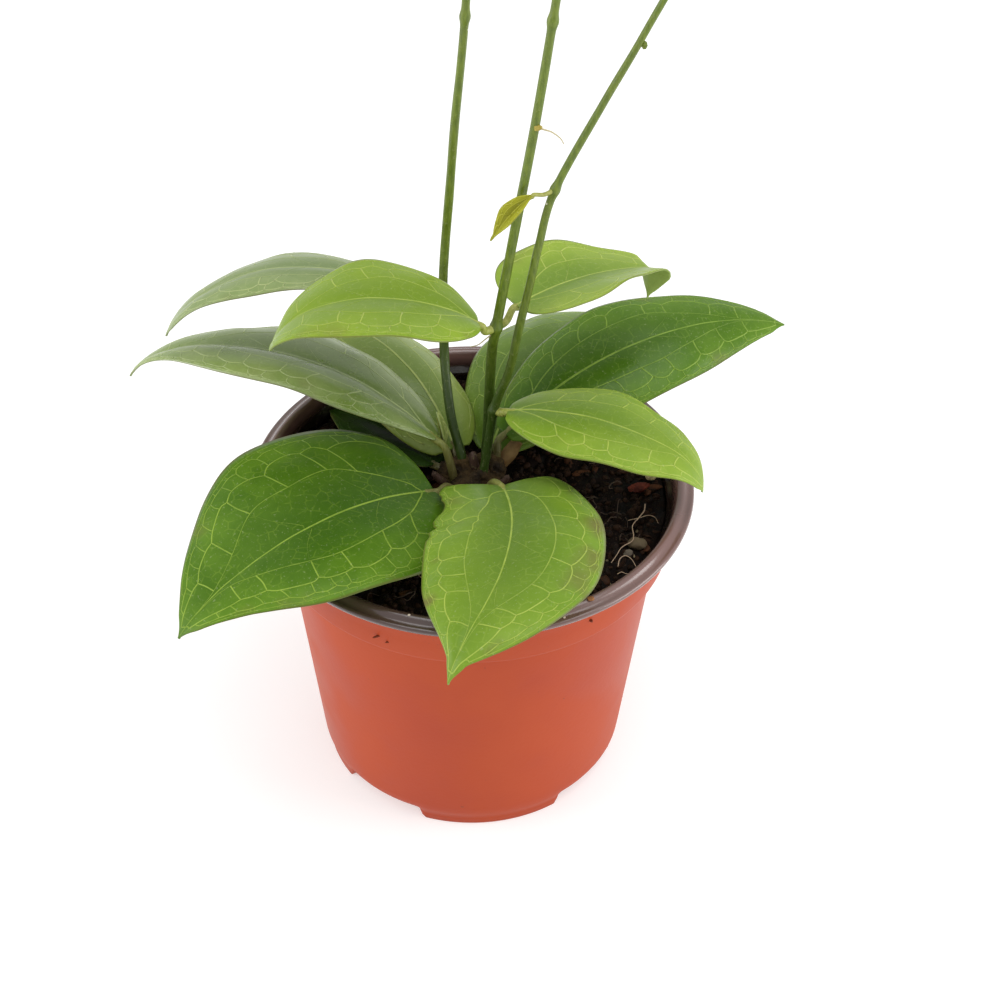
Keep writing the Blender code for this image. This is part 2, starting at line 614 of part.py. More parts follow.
# ---------------------------------------------------------------- the whole plant
def build():
    clear_scene()
    group = new_collection(ROOT_NAME)
    notches = new_collection("notch_cutters")
    holes = new_collection("hole_cutters")
    lumps = new_collection("crown_lumps")
    sockets = new_collection("crown_sockets")
    stalks = new_collection("leaf_stalks")
    pot = make_pot(group, notches)
    soil = make_soil(group, holes)
    make_sockets(sockets)
    crown = make_crown(group, lumps, sockets)
    pieces = [pot, soil, crown]
    for vine in VINES:
        stem = make_vine(vine, group)
        stem.data.materials.append(finish(vine.name + "_green", (0.10, 0.20, 0.02), 0.45))
        pieces.append(stem)
    for leaf in LEAVES:
        pieces.append(make_leaf(leaf, group, stalks))
    for item in pieces:
        shade(item)
    root = bpy.data.objects.new(ROOT_NAME, None)
    group.objects.link(root)
    for item in pieces:
        item.parent = root


build()
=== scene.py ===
"""Looks for a potted hoya: broad blades with netted veins, slim waxy vines, old wood, potting mix, nursery pot.

The tables below are in millimetres and degrees; the scene is in metres. +Z is up and -Y is the front. A heading
is a plan angle from +X towards +Y. Each blade follows the same rule and values as its solid, with far more points,
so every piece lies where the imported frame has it.
"""

import logging
import math
import random
from dataclasses import dataclass

import bmesh
import bpy
import numpy as np
from mathutils import Matrix, Vector, noise


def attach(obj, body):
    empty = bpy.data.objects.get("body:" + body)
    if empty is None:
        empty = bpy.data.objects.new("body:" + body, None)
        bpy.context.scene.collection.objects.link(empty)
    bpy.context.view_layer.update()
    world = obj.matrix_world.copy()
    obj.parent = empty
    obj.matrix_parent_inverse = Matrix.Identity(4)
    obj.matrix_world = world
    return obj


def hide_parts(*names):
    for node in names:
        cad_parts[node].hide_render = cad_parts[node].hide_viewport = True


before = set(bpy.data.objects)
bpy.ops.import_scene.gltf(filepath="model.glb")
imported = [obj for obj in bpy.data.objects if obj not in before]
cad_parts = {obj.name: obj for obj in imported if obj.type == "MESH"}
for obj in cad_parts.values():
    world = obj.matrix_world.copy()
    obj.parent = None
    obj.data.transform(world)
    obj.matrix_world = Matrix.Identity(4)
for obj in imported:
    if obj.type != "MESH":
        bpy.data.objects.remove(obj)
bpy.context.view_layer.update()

MM = 0.001
BODY = "root"
POT_HEIGHT = 94.0
SOIL_TOP = 86.0
NODE_SWELL = 1.38        # a vine's radius at its node over its radius beside it
SEAT_GAP = 0.32
BLADE_START, BLADE_END = 0.016, 0.985       # shares of the midrib between which there is blade
POINT_START = 0.93       # from here its end is drawn to a point
log = logging.getLogger("potted_hoya")

Point = tuple[float, float, float]
Colour = tuple[int, int, int]


# ---------------------------------------------------------------- small tools
def linear(colour: Colour, alpha: float = 1.0) -> tuple[float, float, float, float]:
    """Turn a screen colour (0 to 255) into the scene's linear values.

    Args:
        colour: Red, green and blue as they look on a screen.
        alpha: Opacity.

    Returns:
        Four linear values.
    """
    parts = [c / 255.0 for c in colour]
    return (*[p / 12.92 if p <= 0.04045 else ((p + 0.055) / 1.055) ** 2.4 for p in parts], alpha)


class Graph:
    """Adds and joins nodes in one tree."""

    def __init__(self, tree: bpy.types.NodeTree) -> None:
        """Keep the tree that the nodes go into."""
        self.tree = tree

    def add(self, kind: str, wires: dict | None = None, **settings: object) -> bpy.types.Node:
        """Add a node.

        Args:
            kind: The node's type.
            wires: Socket name or index, to a value or to another node's output.
            settings: The node's own properties.

        Returns:
            The new node.
        """
        node = self.tree.nodes.new(kind)
        for key, value in settings.items():
            setattr(node, key, value)
        for key, value in (wires or {}).items():
            self.wire(node.inputs[key], value)
        return node

    def wire(self, socket: bpy.types.NodeSocket, value: object) -> None:
        """Join a socket to another node's output, or set its plain value."""
        if isinstance(value, bpy.types.NodeSocket):
            self.tree.links.new(value, socket)
        else:
            socket.default_value = value

    def calc(self, operation: str, first: object, second: object = 0.0,
             clamp: bool = False) -> bpy.types.NodeSocket:
        """One sum on two values, as a Math node's output."""
        node = self.add('ShaderNodeMath', {0: first, 1: second}, operation=operation, use_clamp=clamp)
        return node.outputs[0]

    def fade(self, value: object, start: object, end: object, low: float = 0.0,
             high: float = 1.0) -> bpy.types.NodeSocket:
        """A smooth change from low to high as value goes from start to end."""
        wires = {"Value": value, "From Min": start, "From Max": end, "To Min": low, "To Max": high}
        return self.add('ShaderNodeMapRange', wires, interpolation_type='SMOOTHSTEP').outputs[0]

    def mix(self, share: object, first: object, second: object, mode: str = 'MIX') -> bpy.types.NodeSocket:
        """Two colours mixed by a share."""
        node = self.add('ShaderNodeMix', {0: share, 6: first, 7: second}, data_type='RGBA', blend_type=mode)
        return node.outputs[2]

    def noise(self, vector: object, scale: float, detail: float = 3.0, rough: float = 0.55,
              stretch: float = 0.0) -> bpy.types.NodeSocket:
        """A noise value between 0 and 1."""
        wires = {"Vector": vector, "Scale": scale, "Detail": detail, "Roughness": rough, "Distortion": stretch}
        return self.add('ShaderNodeTexNoise', wires).outputs["Fac"]

    def group(self, name: str, wires: dict) -> bpy.types.Node:
        """Place one of the shared effects with this material's own values."""
        node = self.add('ShaderNodeGroup', node_tree=bpy.data.node_groups[name])
        for key, value in wires.items():
            self.wire(node.inputs[key], value)
        return node


def new_group(name: str, inputs: dict[str, float | str], outputs: list[str]) -> tuple[Graph, dict, dict]:
    """Start a shader node group with named sockets.

    Args:
        name: The group's name.
        inputs: Socket name to its plain value, or to "vector".
        outputs: Names of the value sockets it puts out.

    Returns:
        The group's graph, its inputs by name, and its output sockets by name.
    """
    tree = bpy.data.node_groups.new(name, 'ShaderNodeTree')
    for label, value in inputs.items():
        kind = 'NodeSocketVector' if value == "vector" else 'NodeSocketFloat'
        socket = tree.interface.new_socket(label, in_out='INPUT', socket_type=kind)
        if value != "vector":
            socket.default_value = value
    for label in outputs:
        tree.interface.new_socket(label, in_out='OUTPUT', socket_type='NodeSocketFloat')
    graph = Graph(tree)
    entry, leave = graph.add('NodeGroupInput'), graph.add('NodeGroupOutput')
    return graph, {s.name: s for s in entry.outputs if s.name}, {s.name: s for s in leave.inputs if s.name}


def new_material(name: str) -> tuple[bpy.types.Material, Graph, bpy.types.Node]:
    """A material with its graph and its Principled shader."""
    material = bpy.data.materials.new(name)
    material.use_nodes = True
    return material, Graph(material.node_tree), material.node_tree.nodes["Principled BSDF"]


def smooth_path(points: list, samples: int) -> list[Vector]:
    """Evenly counted points on a smooth curve through the given ones.

    Args:
        points: The points to pass through.
        samples: How many points to return.

    Returns:
        The curve's points.
    """
    first, last = Vector(points[0]) * 2 - Vector(points[1]), Vector(points[-1]) * 2 - Vector(points[-2])
    ends = [first, *map(Vector, points), last]
    spans = len(points) - 1
    path = []
    for k in range(samples):
        place = k / (samples - 1) * spans
        i = min(int(place), spans - 1)
        t = place - i
        a, b, c, d = ends[i:i + 4]
        path.append(0.5 * (2 * b + (c - a) * t + (2 * a - 5 * b + 4 * c - d) * t ** 2
                           + (3 * b - a - 3 * c + d) * t ** 3))
    return path


def mesh_piece(name: str, points: np.ndarray, faces: list, material: bpy.types.Material,
               smooth: bool = True) -> bpy.types.Object:
    """Make an object of points in millimetres.

    Args:
        name: The piece's name.
        points: Its corners, one row each.
        faces: Corner numbers of each face.
        material: Its finish.
        smooth: Whether its shading is smooth.

    Returns:
        The object, at the origin.
    """
    mesh = bpy.data.meshes.new(name)
    mesh.from_pydata((np.asarray(points) * MM).tolist(), [], faces)
    mesh.polygons.foreach_set("use_smooth", [smooth] * len(mesh.polygons))
    mesh.update()
    item = bpy.data.objects.new(name, mesh)
    bpy.context.scene.collection.objects.link(item)
    item.data.materials.append(material)
    return item


def settle(item: bpy.types.Object, *nodes: str, slot: str | None = None) -> bpy.types.Object:
    """Let a finished piece ride on the plant and stand for its solids."""
    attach(item, BODY)
    if nodes:
        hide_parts(*nodes)
    log.info("%s: %d faces", item.name, len(item.data.polygons))
    return item


def set_input(modifier: bpy.types.Modifier, label: str, value: object) -> None:
    """Set a Geometry Nodes input by its socket's identifier."""
    for socket in modifier.node_group.interface.items_tree:
        if socket.item_type == 'SOCKET' and socket.in_out == 'INPUT' and socket.name == label:
            modifier[socket.identifier] = value


def geometry_tree(name: str, inputs: dict[str, tuple[str, object]]) -> tuple[Graph, dict, bpy.types.NodeSocket]:
    """Start a Geometry Nodes tree with a Geometry socket and named inputs.

    Args:
        name: The tree's name.
        inputs: Socket name to its type and plain value.

    Returns:
        The tree's graph, its inputs by name, and its output socket.
    """
    tree = bpy.data.node_groups.new(name, 'GeometryNodeTree')
    tree.interface.new_socket("Geometry", in_out='INPUT', socket_type='NodeSocketGeometry')
    tree.interface.new_socket("Geometry", in_out='OUTPUT', socket_type='NodeSocketGeometry')
    for label, (kind, value) in inputs.items():
        socket = tree.interface.new_socket(label, in_out='INPUT', socket_type=kind)
        if value is not None:
            socket.default_value = value
    graph = Graph(tree)
    entry, leave = graph.add('NodeGroupInput'), graph.add('NodeGroupOutput')
    return graph, {s.name: s for s in entry.outputs if s.name}, leave.inputs[0]


def grown(host: bpy.types.Object, tree: bpy.types.NodeTree, name: str, values: dict[str, object],
          keep_host: bool = False) -> bpy.types.Object:
    """Run a Geometry Nodes tree on an object and keep the result as a plain mesh.

    Args:
        host: The object that the tree reads.
        tree: The Geometry Nodes tree.
        name: The new piece's name.
        values: The tree's inputs by name.
        keep_host: Whether the host stays in the scene.

    Returns:
        A new object with a plain mesh, at the origin.
    """
    modifier = host.modifiers.new("grow", 'NODES')
    modifier.node_group = tree
    for label, value in values.items():
        set_input(modifier, label, value)
    graph = bpy.context.evaluated_depsgraph_get()
    mesh = bpy.data.meshes.new_from_object(host.evaluated_get(graph), depsgraph=graph)
    mesh.name = name
    host.modifiers.remove(modifier)
    item = bpy.data.objects.new(name, mesh)
    bpy.context.scene.collection.objects.link(item)
    if not keep_host:
        bpy.data.objects.remove(host, do_unlink=True)
    return item


# ---------------------------------------------------------------- shared effects
def build_mottle_group() -> None:
    """Soft clouds and fine specks, for colour that is never quite even."""
    graph, given, out = new_group("mottle", {"Vector": "vector", "Cloud Scale": 30.0, "Speck Scale": 400.0},
                                  ["Clouds", "Specks"])
    cloud = graph.noise(given["Vector"], 1.0, 3.0)
    graph.wire(cloud.node.inputs["Scale"], given["Cloud Scale"])
    speck = graph.noise(given["Vector"], 1.0, 2.0, 0.7)
    graph.wire(speck.node.inputs["Scale"], given["Speck Scale"])
    graph.wire(out["Clouds"], graph.fade(cloud, 0.32, 0.68))
    graph.wire(out["Specks"], graph.fade(speck, 0.60, 0.72))


def build_reticulum_group() -> None:
    """The finest net between a blade's veins, and a small change of green from one mesh to the next."""
    graph, given, out = new_group("reticulum", {"Flat": "vector", "Mesh Size": 2.6}, ["Net", "Patch"])
    unit = graph.calc('DIVIDE', 1.0, given["Mesh Size"])
    wires = {"Vector": given["Flat"], "Scale": unit, "Randomness": 0.9}
    edge = graph.add('ShaderNodeTexVoronoi', wires, feature='DISTANCE_TO_EDGE', voronoi_dimensions='2D')
    away = graph.calc('DIVIDE', edge.outputs["Distance"], unit)
    cell = graph.add('ShaderNodeTexVoronoi', wires, voronoi_dimensions='2D').outputs["Color"]
    broken = graph.fade(graph.noise(given["Flat"], 0.25, 2.0), 0.42, 0.62)
    graph.wire(out["Net"], graph.calc('MULTIPLY', graph.fade(away, 0.02, 0.30, 1.0, 0.0), broken))
    graph.wire(out["Patch"], graph.add('ShaderNodeSeparateColor', {0: cell}).outputs[0])


# ---------------------------------------------------------------- tubes that follow a path
class TubeMaker:
    """Sweeps a round section along a line of points, each with its own radius."""

    def __init__(self) -> None:
        """Build the tree once, for every stem, stalk and root."""
        graph, given, leave = geometry_tree("round_stem", {
            "Sides": ('NodeSocketInt', 14), "Finish": ('NodeSocketMaterial', None)})
        thick = graph.add('GeometryNodeInputNamedAttribute', {"Name": "thick"}, data_type='FLOAT').outputs[0]
        line = graph.add('GeometryNodeMeshToCurve', {"Mesh": given["Geometry"]}).outputs[0]
        line = graph.add('GeometryNodeSetCurveRadius', {"Curve": line, "Radius": thick}).outputs[0]
        ring = graph.add('GeometryNodeCurvePrimitiveCircle', {"Resolution": given["Sides"], "Radius": 1.0},
                         mode='RADIUS').outputs[0]
        wires = {"Curve": line, "Profile Curve": ring, "Fill Caps": True}
        sweep = graph.add('GeometryNodeCurveToMesh', wires)
        if "Scale" in sweep.inputs:
            graph.wire(sweep.inputs["Scale"], thick)
        soft = graph.add('GeometryNodeSetShadeSmooth', {"Geometry": sweep.outputs[0]}).outputs[0]
        real = graph.add('GeometryNodeRealizeInstances', {"Geometry": soft}).outputs[0]
        done = graph.add('GeometryNodeSetMaterial', {"Geometry": real, "Material": given["Finish"]}).outputs[0]
        graph.wire(leave, done)
        self.tree = graph.tree

    def sweep(self, name: str, lines: list[tuple[list[Vector], list[float]]], material: bpy.types.Material,
              sides: int = 14) -> bpy.types.Object:
        """Make one mesh of closed round stems.

        Args:
            name: The piece's name.
            lines: For each stem, its points and its radii in millimetres.
            material: Its finish.
            sides: Sides of its section.

        Returns:
            The piece.
        """
        points, edges, thick = [], [], []
        for path, radii in lines:
            first = len(points)
            points += [tuple(p * MM) for p in path]
            thick += [r * MM for r in radii]
            edges += [(first + k, first + k + 1) for k in range(len(path) - 1)]
        mesh = bpy.data.meshes.new(name + "_line")
        mesh.from_pydata(points, edges, [])
        mesh.attributes.new("thick", 'FLOAT', 'POINT').data.foreach_set("value", thick)
        host = bpy.data.objects.new(name + "_line", mesh)
        bpy.context.scene.collection.objects.link(host)
        return grown(host, self.tree, name, {"Sides": sides, "Finish": material})


def rounded_ends(path: list[Vector], radii: list[float], start: bool = True,
                 end: bool = True) -> tuple[list[Vector], list[float]]:
    """Add small rings at a stem's ends, so that they close like a finger's tip.

    Args:
        path: The stem's points.
        radii: Its radii.
        start: Whether its start is rounded.
        end: Whether its end is rounded.

    Returns:
        The longer path and radii.
    """
    path, radii = [Vector(p) for p in path], list(radii)
    for wanted, at_end in ((start, False), (end, True)):
        if not wanted:
            continue
        tip, before = (path[-1], path[-2]) if at_end else (path[0], path[1])
        out = (tip - before).normalized()
        r = radii[-1] if at_end else radii[0]
        rings = [(tip - out * r * (1 - math.sin(a)), r * math.cos(a) + 0.02 * r)
                 for a in (0.0, 0.45, 0.9, 1.25, 1.5)]
        if at_end:
            path, radii = path[:-1] + [p for p, _ in rings], radii[:-1] + [w for _, w in rings]
        else:
            rings.reverse()
            path, radii = [p for p, _ in rings] + path[1:], [w for _, w in rings] + radii[1:]
    return path, radii


# ---------------------------------------------------------------- finishes
@dataclass(frozen=True)
class LeafFinish:
    """How one blade looks: its greens, its veins and its wax."""

    deep: Colour
    green: Colour
    light: Colour
    vein: Colour
    net: float = 0.45            # how strongly the net shows
    rib: float = 0.78
    rough: float = 0.36
    cell: float = 9.5            # spacing of the loops along the laterals, in millimetres
    inner: float = 0.46          # how far out the laterals arch
    dull: float = 0.2            # share of scurf and specks
    blush: float = 0.35          # brownish flush near the margin
    wax: float = 0.3             # strength of its shine
    seed: float = 0.0

    @property
    def number(self) -> int:
        """The blade's own whole number, for its scattered values."""
        return int(self.seed * 10) + 11

    def make(self, name: str) -> bpy.types.Material:
        """Build the blade's material.

        Args:
            name: The leaf's name.

        Returns:
            The material.
        """
        material, graph, shader = new_material(name + "_blade")
        place = graph.add('ShaderNodeAttribute', attribute_name="place").outputs["Vector"]
        flat = graph.add('ShaderNodeAttribute', attribute_name="flat").outputs["Vector"]
        flat = graph.add('ShaderNodeMapping', {"Vector": flat, "Location": (self.seed * 31.0, self.seed * 17.0, 0.0)}
                         ).outputs[0]
        vein = graph.add('ShaderNodeAttribute', attribute_name="vein").outputs["Fac"]
        fine = graph.group("reticulum", {"Flat": flat, "Mesh Size": self.cell * 0.28})
        cloud = graph.group("mottle", {"Vector": flat, "Cloud Scale": 0.055, "Speck Scale": 1.1})
        parts = graph.add('ShaderNodeSeparateXYZ', {0: place})
        side, along, face = parts.outputs[0], parts.outputs[1], parts.outputs[2]
        reach = graph.calc('ABSOLUTE', side)
        tone = graph.calc('ADD', graph.calc('MULTIPLY', cloud.outputs["Clouds"], 0.55),
                          graph.calc('MULTIPLY', fine.outputs["Patch"], 0.14), clamp=True)
        body = graph.mix(tone, linear(self.green), linear(self.light))
        middle = graph.calc('MULTIPLY', graph.fade(reach, 0.1, 0.85, 0.75, 0.0), graph.fade(along, 0.35, 1.0, 1.0, 0.2))
        body = graph.mix(middle, body, linear(self.deep))
        body = graph.mix(graph.calc('MULTIPLY', fine.outputs["Net"], self.net * 0.3), body, linear(self.vein))
        blush = graph.fade(graph.noise(flat, 0.07, 2.0), 0.52, 0.70)
        blush = graph.calc('MULTIPLY', blush, graph.fade(reach, 0.55, 0.95, 0.0, self.blush))
        body = graph.mix(blush, body, linear((104, 92, 52)))
        strong = graph.fade(graph.noise(flat, 0.16, 3.0), 0.36, 0.62, self.rib * 0.62, self.rib)
        body = graph.mix(graph.calc('MULTIPLY', vein, strong), body, linear(self.vein))
        scurf = graph.calc('MULTIPLY', cloud.outputs["Specks"], self.dull)
        body = graph.mix(scurf, body, linear((186, 192, 150)))
        edge = graph.fade(reach, 0.968, 0.998, 0.0, 0.7)
        body = graph.mix(edge, body, linear((98, 92, 50)))
        pale = tuple(min(255, round(c * 0.75 + 46)) for c in self.green)
        below = graph.fade(face, -0.2, 0.2, 1.0, 0.0)
        under = graph.mix(graph.calc('MULTIPLY', tone, 0.8), linear(pale), linear(tuple(min(255, c + 20) for c in pale)))
        body = graph.mix(below, body, under)
        graph.wire(shader.inputs["Base Color"], body)
        rough = graph.fade(cloud.outputs["Clouds"], 0.0, 1.0, self.rough - 0.04, self.rough + 0.07)
        rough = graph.calc('ADD', rough, graph.calc('MULTIPLY', below, 0.18))
        graph.wire(shader.inputs["Roughness"], graph.calc('ADD', rough, graph.calc('MULTIPLY', scurf, 0.3)))
        height = graph.calc('ADD', graph.calc('MULTIPLY', fine.outputs["Net"], -0.12),
                            graph.calc('MULTIPLY', graph.noise(flat, 1.4, 2.0), 0.25))
        bump = graph.add('ShaderNodeBump', {"Strength": 0.35, "Distance": 0.0005, "Height": height})
        graph.wire(shader.inputs["Normal"], bump.outputs[0])
        shader.inputs["Specular IOR Level"].default_value = self.wax
        return material


@dataclass(frozen=True)
class StemFinish:
    """A waxy green stem: lengthwise streaks, pale pores and a foot colour that fades out upwards; on the green vines
    that foot colour is painted shade.
    """

    green: Colour
    light: Colour
    aged: Colour
    # the foot colour; on the green vines it is painted shade from the leaves above
    deep: Colour
    age: float = 0.14
    rough: float = 0.40
    foot: float = 103.0          # the foot's colour is full up to here
    clear: float = 158.0         # and gone from here up, both heights in millimetres

    def make(self, name: str) -> bpy.types.Material:
        """Build the stem's material and return it."""
        material, graph, shader = new_material(name)
        spot = graph.add('ShaderNodeTexCoord').outputs["Object"]
        drawn = graph.add('ShaderNodeMapping', {"Vector": spot, "Scale": (1.0, 1.0, 0.22)}).outputs[0]
        cloud = graph.group("mottle", {"Vector": spot, "Cloud Scale": 85.0, "Speck Scale": 900.0})
        streak = graph.noise(drawn, 1500.0, 2.0)
        body = graph.mix(graph.fade(streak, 0.3, 0.7), linear(self.green), linear(self.light))
        aged = graph.calc('MULTIPLY', cloud.outputs["Clouds"], self.age)
        body = graph.mix(aged, body, linear(self.aged))
        # darker towards the foot, fading out between the two heights: painted shade on the vines
        height = graph.add('ShaderNodeSeparateXYZ', {0: spot}).outputs[2]
        body = graph.mix(graph.fade(height, self.foot * MM, self.clear * MM, 0.88, 0.0), body, linear(self.deep))
        body = graph.mix(graph.calc('MULTIPLY', cloud.outputs["Specks"], 0.25), body, linear((150, 150, 96)))
        graph.wire(shader.inputs["Base Color"], body)
        graph.wire(shader.inputs["Roughness"], graph.fade(streak, 0.2, 0.8, self.rough - 0.06, self.rough + 0.1))
        bump = graph.add('ShaderNodeBump', {"Strength": 0.4, "Distance": 0.0003,
                                            "Height": graph.calc('ADD', streak, cloud.outputs["Specks"])})
        graph.wire(shader.inputs["Normal"], bump.outputs[0])
        return material


# ---------------------------------------------------------------- veins
@dataclass(frozen=True)
class Strand:
    """One vein: its places on the blade as (along, across) shares, with the width and strength at its two ends."""

    places: tuple[tuple[float, float], ...]
    widths: tuple[float, float]
    strengths: tuple[float, float]


@dataclass
class VeinNet:
    """The veins of one blade: a midrib, a pair of arched laterals, and closed loops that hang off them in rows."""

    length: float
    width: float
    reach: float = 0.46          # how far out the laterals arch, as a share of the half width
    spacing: float = 9.5         # between the loops of the first row, in millimetres
    seed: int = 1
    start: float = 0.055
    join: float = 0.90           # where the laterals come back to the midrib

    def lateral(self, t: float) -> float:
        """How far across the lateral lies at a share of the length."""
        rise = 1.0 - math.exp(-max(0.0, t - self.start) / 0.115)
        fall = min(1.0, max(0.0, (t - 0.52) / (self.join - 0.52)))
        return self.reach * rise * (1.0 - fall * fall * (3 - 2 * fall)) + 0.004

    def strands(self) -> list[Strand]:
        """Every vein of the blade, the strongest first."""
        dice = random.Random(self.seed)
        found = [Strand(tuple((k / 40 * 0.958 + 0.018, 0.0) for k in range(41)), (0.52, 0.16), (1.0, 0.75))]
        for side in (-1.0, 1.0):
            found += self.side_strands(side, dice)
        return found

    def side_strands(self, side: float, dice: "random.Random") -> list[Strand]:
        """The veins of one half of the blade.

        Args:
            side: Which half, -1 or 1.
            dice: Seeded random numbers.

        Returns:
            The half's veins.
        """
        found = []
        count = max(4, round(self.length * (self.join - self.start) / self.spacing))
        anchors = []
        for k in range(1, count):
            even = k / count
            t = self.start + (self.join - self.start) * (even ** 0.92) + dice.uniform(-0.2, 0.2) / count
            anchors.append((t, self.lateral(t) * (1.0 + dice.uniform(-0.05, 0.07))))
        line = [(self.start, 0.0)] + [(t, self.lateral(t)) for t in (self.start + 0.02, self.start + 0.045)
                                      if t < anchors[0][0] - 0.015] + anchors + [(self.join + 0.02, 0.0)]
        found.append(Strand(tuple((t, side * u) for t, u in line), (0.31, 0.12), (0.95, 0.4)))
        beyond = [(t, 0.0) for t in (self.join + 0.045,)]
        row = [(0.030 + dice.uniform(0.0, 0.01), 0.02)] + anchors + beyond
        shares = ((0.47, 0.23, 0.85, 0.20), (0.60, 0.18, 0.72, 0.15), (0.62, 0.14, 0.6, 0.10))
        for depth, (share, wide, strong, bulge) in enumerate(shares):
            row = self.grow_row(row, side, dice, found, depth, share, wide, strong, bulge)
            if len(row) < 2:
                break
        for t, u in row[1:-1:1]:
            end = (t + dice.uniform(-0.006, 0.010), min(0.985, u + 0.6 * (1.0 - u)))
            found.append(Strand(((t, side * u), (end[0], side * end[1])), (0.12, 0.07), (0.5, 0.25)))
        for k in range(1, len(anchors) - 1, 2):
            t, u = anchors[k]
            low = (max(0.05, t - 0.085 + dice.uniform(-0.02, 0.02)), 0.03)
            bend = ((t + low[0]) / 2 + 0.012, u * 0.5)
            found.append(Strand(((low[0], side * low[1]), (bend[0], side * bend[1]), (t, side * u * 0.93)),
                                (0.15, 0.09), (0.42, 0.12)))
        return found

    def grow_row(self, row: list[tuple[float, float]], side: float, dice: "random.Random", found: list[Strand],
                 depth: int, share: float, wide: float, strong: float, bulge: float) -> list[tuple[float, float]]:
        """Grow spurs from a row of places and close the loops between their ends.

        Args:
            row: Places on the row before, from base to tip.
            side: Which half of the blade.
            dice: Seeded random numbers.
            found: Where the new veins are added.
            depth: The row's number.
            share: How much of the way to the margin the spurs run.
            wide: The loops' width.
            strong: The loops' strength.
            bulge: How far the loops bulge outwards.

        Returns:
            The places on the new loops that the next row grows from.
        """
        ends = []
        for k, (t, u) in enumerate(row):
            run = share * (1.0 + dice.uniform(-0.16, 0.16))
            if depth == 0 and k == 0:
                run = 0.74
            u_end = u + run * (0.965 - u)
            lean = (0.030 if depth == 0 else 0.010) * (1.0 - t) + dice.uniform(-0.008, 0.008)
            t_end = min(0.985, max(0.02, t + lean))
            ends.append((t_end, u_end))
            if not (depth == 0 and k == 0):
                middle = ((t + t_end) / 2 + dice.uniform(-0.004, 0.004), (u + u_end) / 2)
                found.append(Strand(((t, side * u), (middle[0], side * middle[1]), (t_end, side * u_end)),
                                    (wide * 1.12, wide), (strong, strong * 0.95)))
        fresh = []
        half = self.width / 2
        for (t0, u0), (t1, u1) in zip(ends, ends[1:]):
            gap = math.hypot((t1 - t0) * self.length, (u1 - u0) * half)
            pieces = max(1, min(3, round(gap / (5.6 if depth == 0 else 4.4))))
            mids = []
            for m in range(pieces):
                s = (m + 0.5) / pieces + dice.uniform(-0.06, 0.06)
                out = bulge * (1.0 - ((m + 0.5) / pieces * 2 - 1) ** 2) * gap / half
                u = min(0.93, u0 + (u1 - u0) * s + out + 0.02 * dice.uniform(-1, 1))
                mids.append((t0 + (t1 - t0) * s, u))
            path = [(t0, u0), *mids, (t1, u1)]
            found.append(Strand(tuple((t, side * u) for t, u in path), (wide, wide), (strong, strong)))
            fresh += mids
        return fresh


class VeinMaker:
    """Lays flat strips along a blade's veins, a hair above its skin."""

    def __init__(self, leaf: "Leaf", frames: list[list], widest: float) -> None:
        """Keep the blade that the veins lie on."""
        self.leaf, self.frames, self.widest = leaf, frames, widest

    def spot(self, t: float, u: float) -> tuple[Vector, Vector, float]:
        """A point on the blade's skin, the skin's outward direction there and the half width."""
        leaf, e = self.leaf, 0.004
        here, normal, half = leaf.blade_point(self.frames, self.widest, t, u)
        lean = math.copysign(1.0, u if u else 1.0)
        ahead = leaf.blade_point(self.frames, self.widest, min(t + e, 0.999), u)[0]
        back = leaf.blade_point(self.frames, self.widest, max(t - e, 0.001), u)[0]
        if abs(u) < 0.02:
            up = normal.normalized()
        else:
            outer = leaf.blade_point(self.frames, self.widest, t, u + 0.02 * lean)[0]
            inner = leaf.blade_point(self.frames, self.widest, t, u - 0.02 * lean)[0]
            up = (ahead - back).cross(outer - inner).normalized()
            if up.dot(normal) < 0:
                up = -up
        return here + up * leaf.relief(t, u, half), up, half

    def strips(self, strands: list[Strand]) -> tuple[list, list, dict[str, list]]:
        """Build the strips of every vein.

        Args:
            strands: The blade's veins.

        Returns:
            Points, faces, and what the finish needs at each point.
        """
        points, faces = [], []
        facts: dict[str, list] = {"place": [], "flat": [], "span": [], "vein": []}
        for strand in strands:
            run = sum(math.hypot((b[0] - a[0]) * self.leaf.length, (b[1] - a[1]) * self.leaf.width / 2)
                      for a, b in zip(strand.places, strand.places[1:]))
            count = max(3, int(run / 0.9) + 1)
            path = smooth_path([(t, u, 0.0) for t, u in strand.places], count)
            spots = [self.spot(min(max(p.x, 0.004), BLADE_END - 0.004), p.y) for p in path]
            rows = []
            for k, (here, up, half) in enumerate(spots):
                along = spots[min(k + 1, count - 1)][0] - spots[max(k - 1, 0)][0]
                side = up.cross(along).normalized()
                s = k / (count - 1)
                wide = strand.widths[0] + (strand.widths[1] - strand.widths[0]) * s
                strong = strand.strengths[0] + (strand.strengths[1] - strand.strengths[0]) * s
                wide = min(wide, half * 0.5)
                rise = 0.045 + 0.05 * wide
                first = len(points)
                for offset, lift, share in ((-1.0, -0.01, 0.0), (-0.45, rise, strong), (0.45, rise, strong),
                                            (1.0, -0.01, 0.0), (0.0, -0.16, 0.0)):
                    points.append(here + side * offset * wide + up * lift)
                    facts["place"].append((path[k].y, path[k].x, 1.0))
                    facts["flat"].append((path[k].y * half + offset * wide, path[k].x * self.leaf.length, 0.0))
                    facts["span"].append(half)
                    facts["vein"].append(share)
                rows.append(range(first, first + 5))
            for one, two in zip(rows, rows[1:]):
                for k in range(5):
                    n = (k + 1) % 5
                    faces.append((one[k], one[n], two[n], two[k]))
            faces.append(tuple(reversed(rows[0])))
            faces.append(tuple(rows[-1]))
        return points, faces, facts


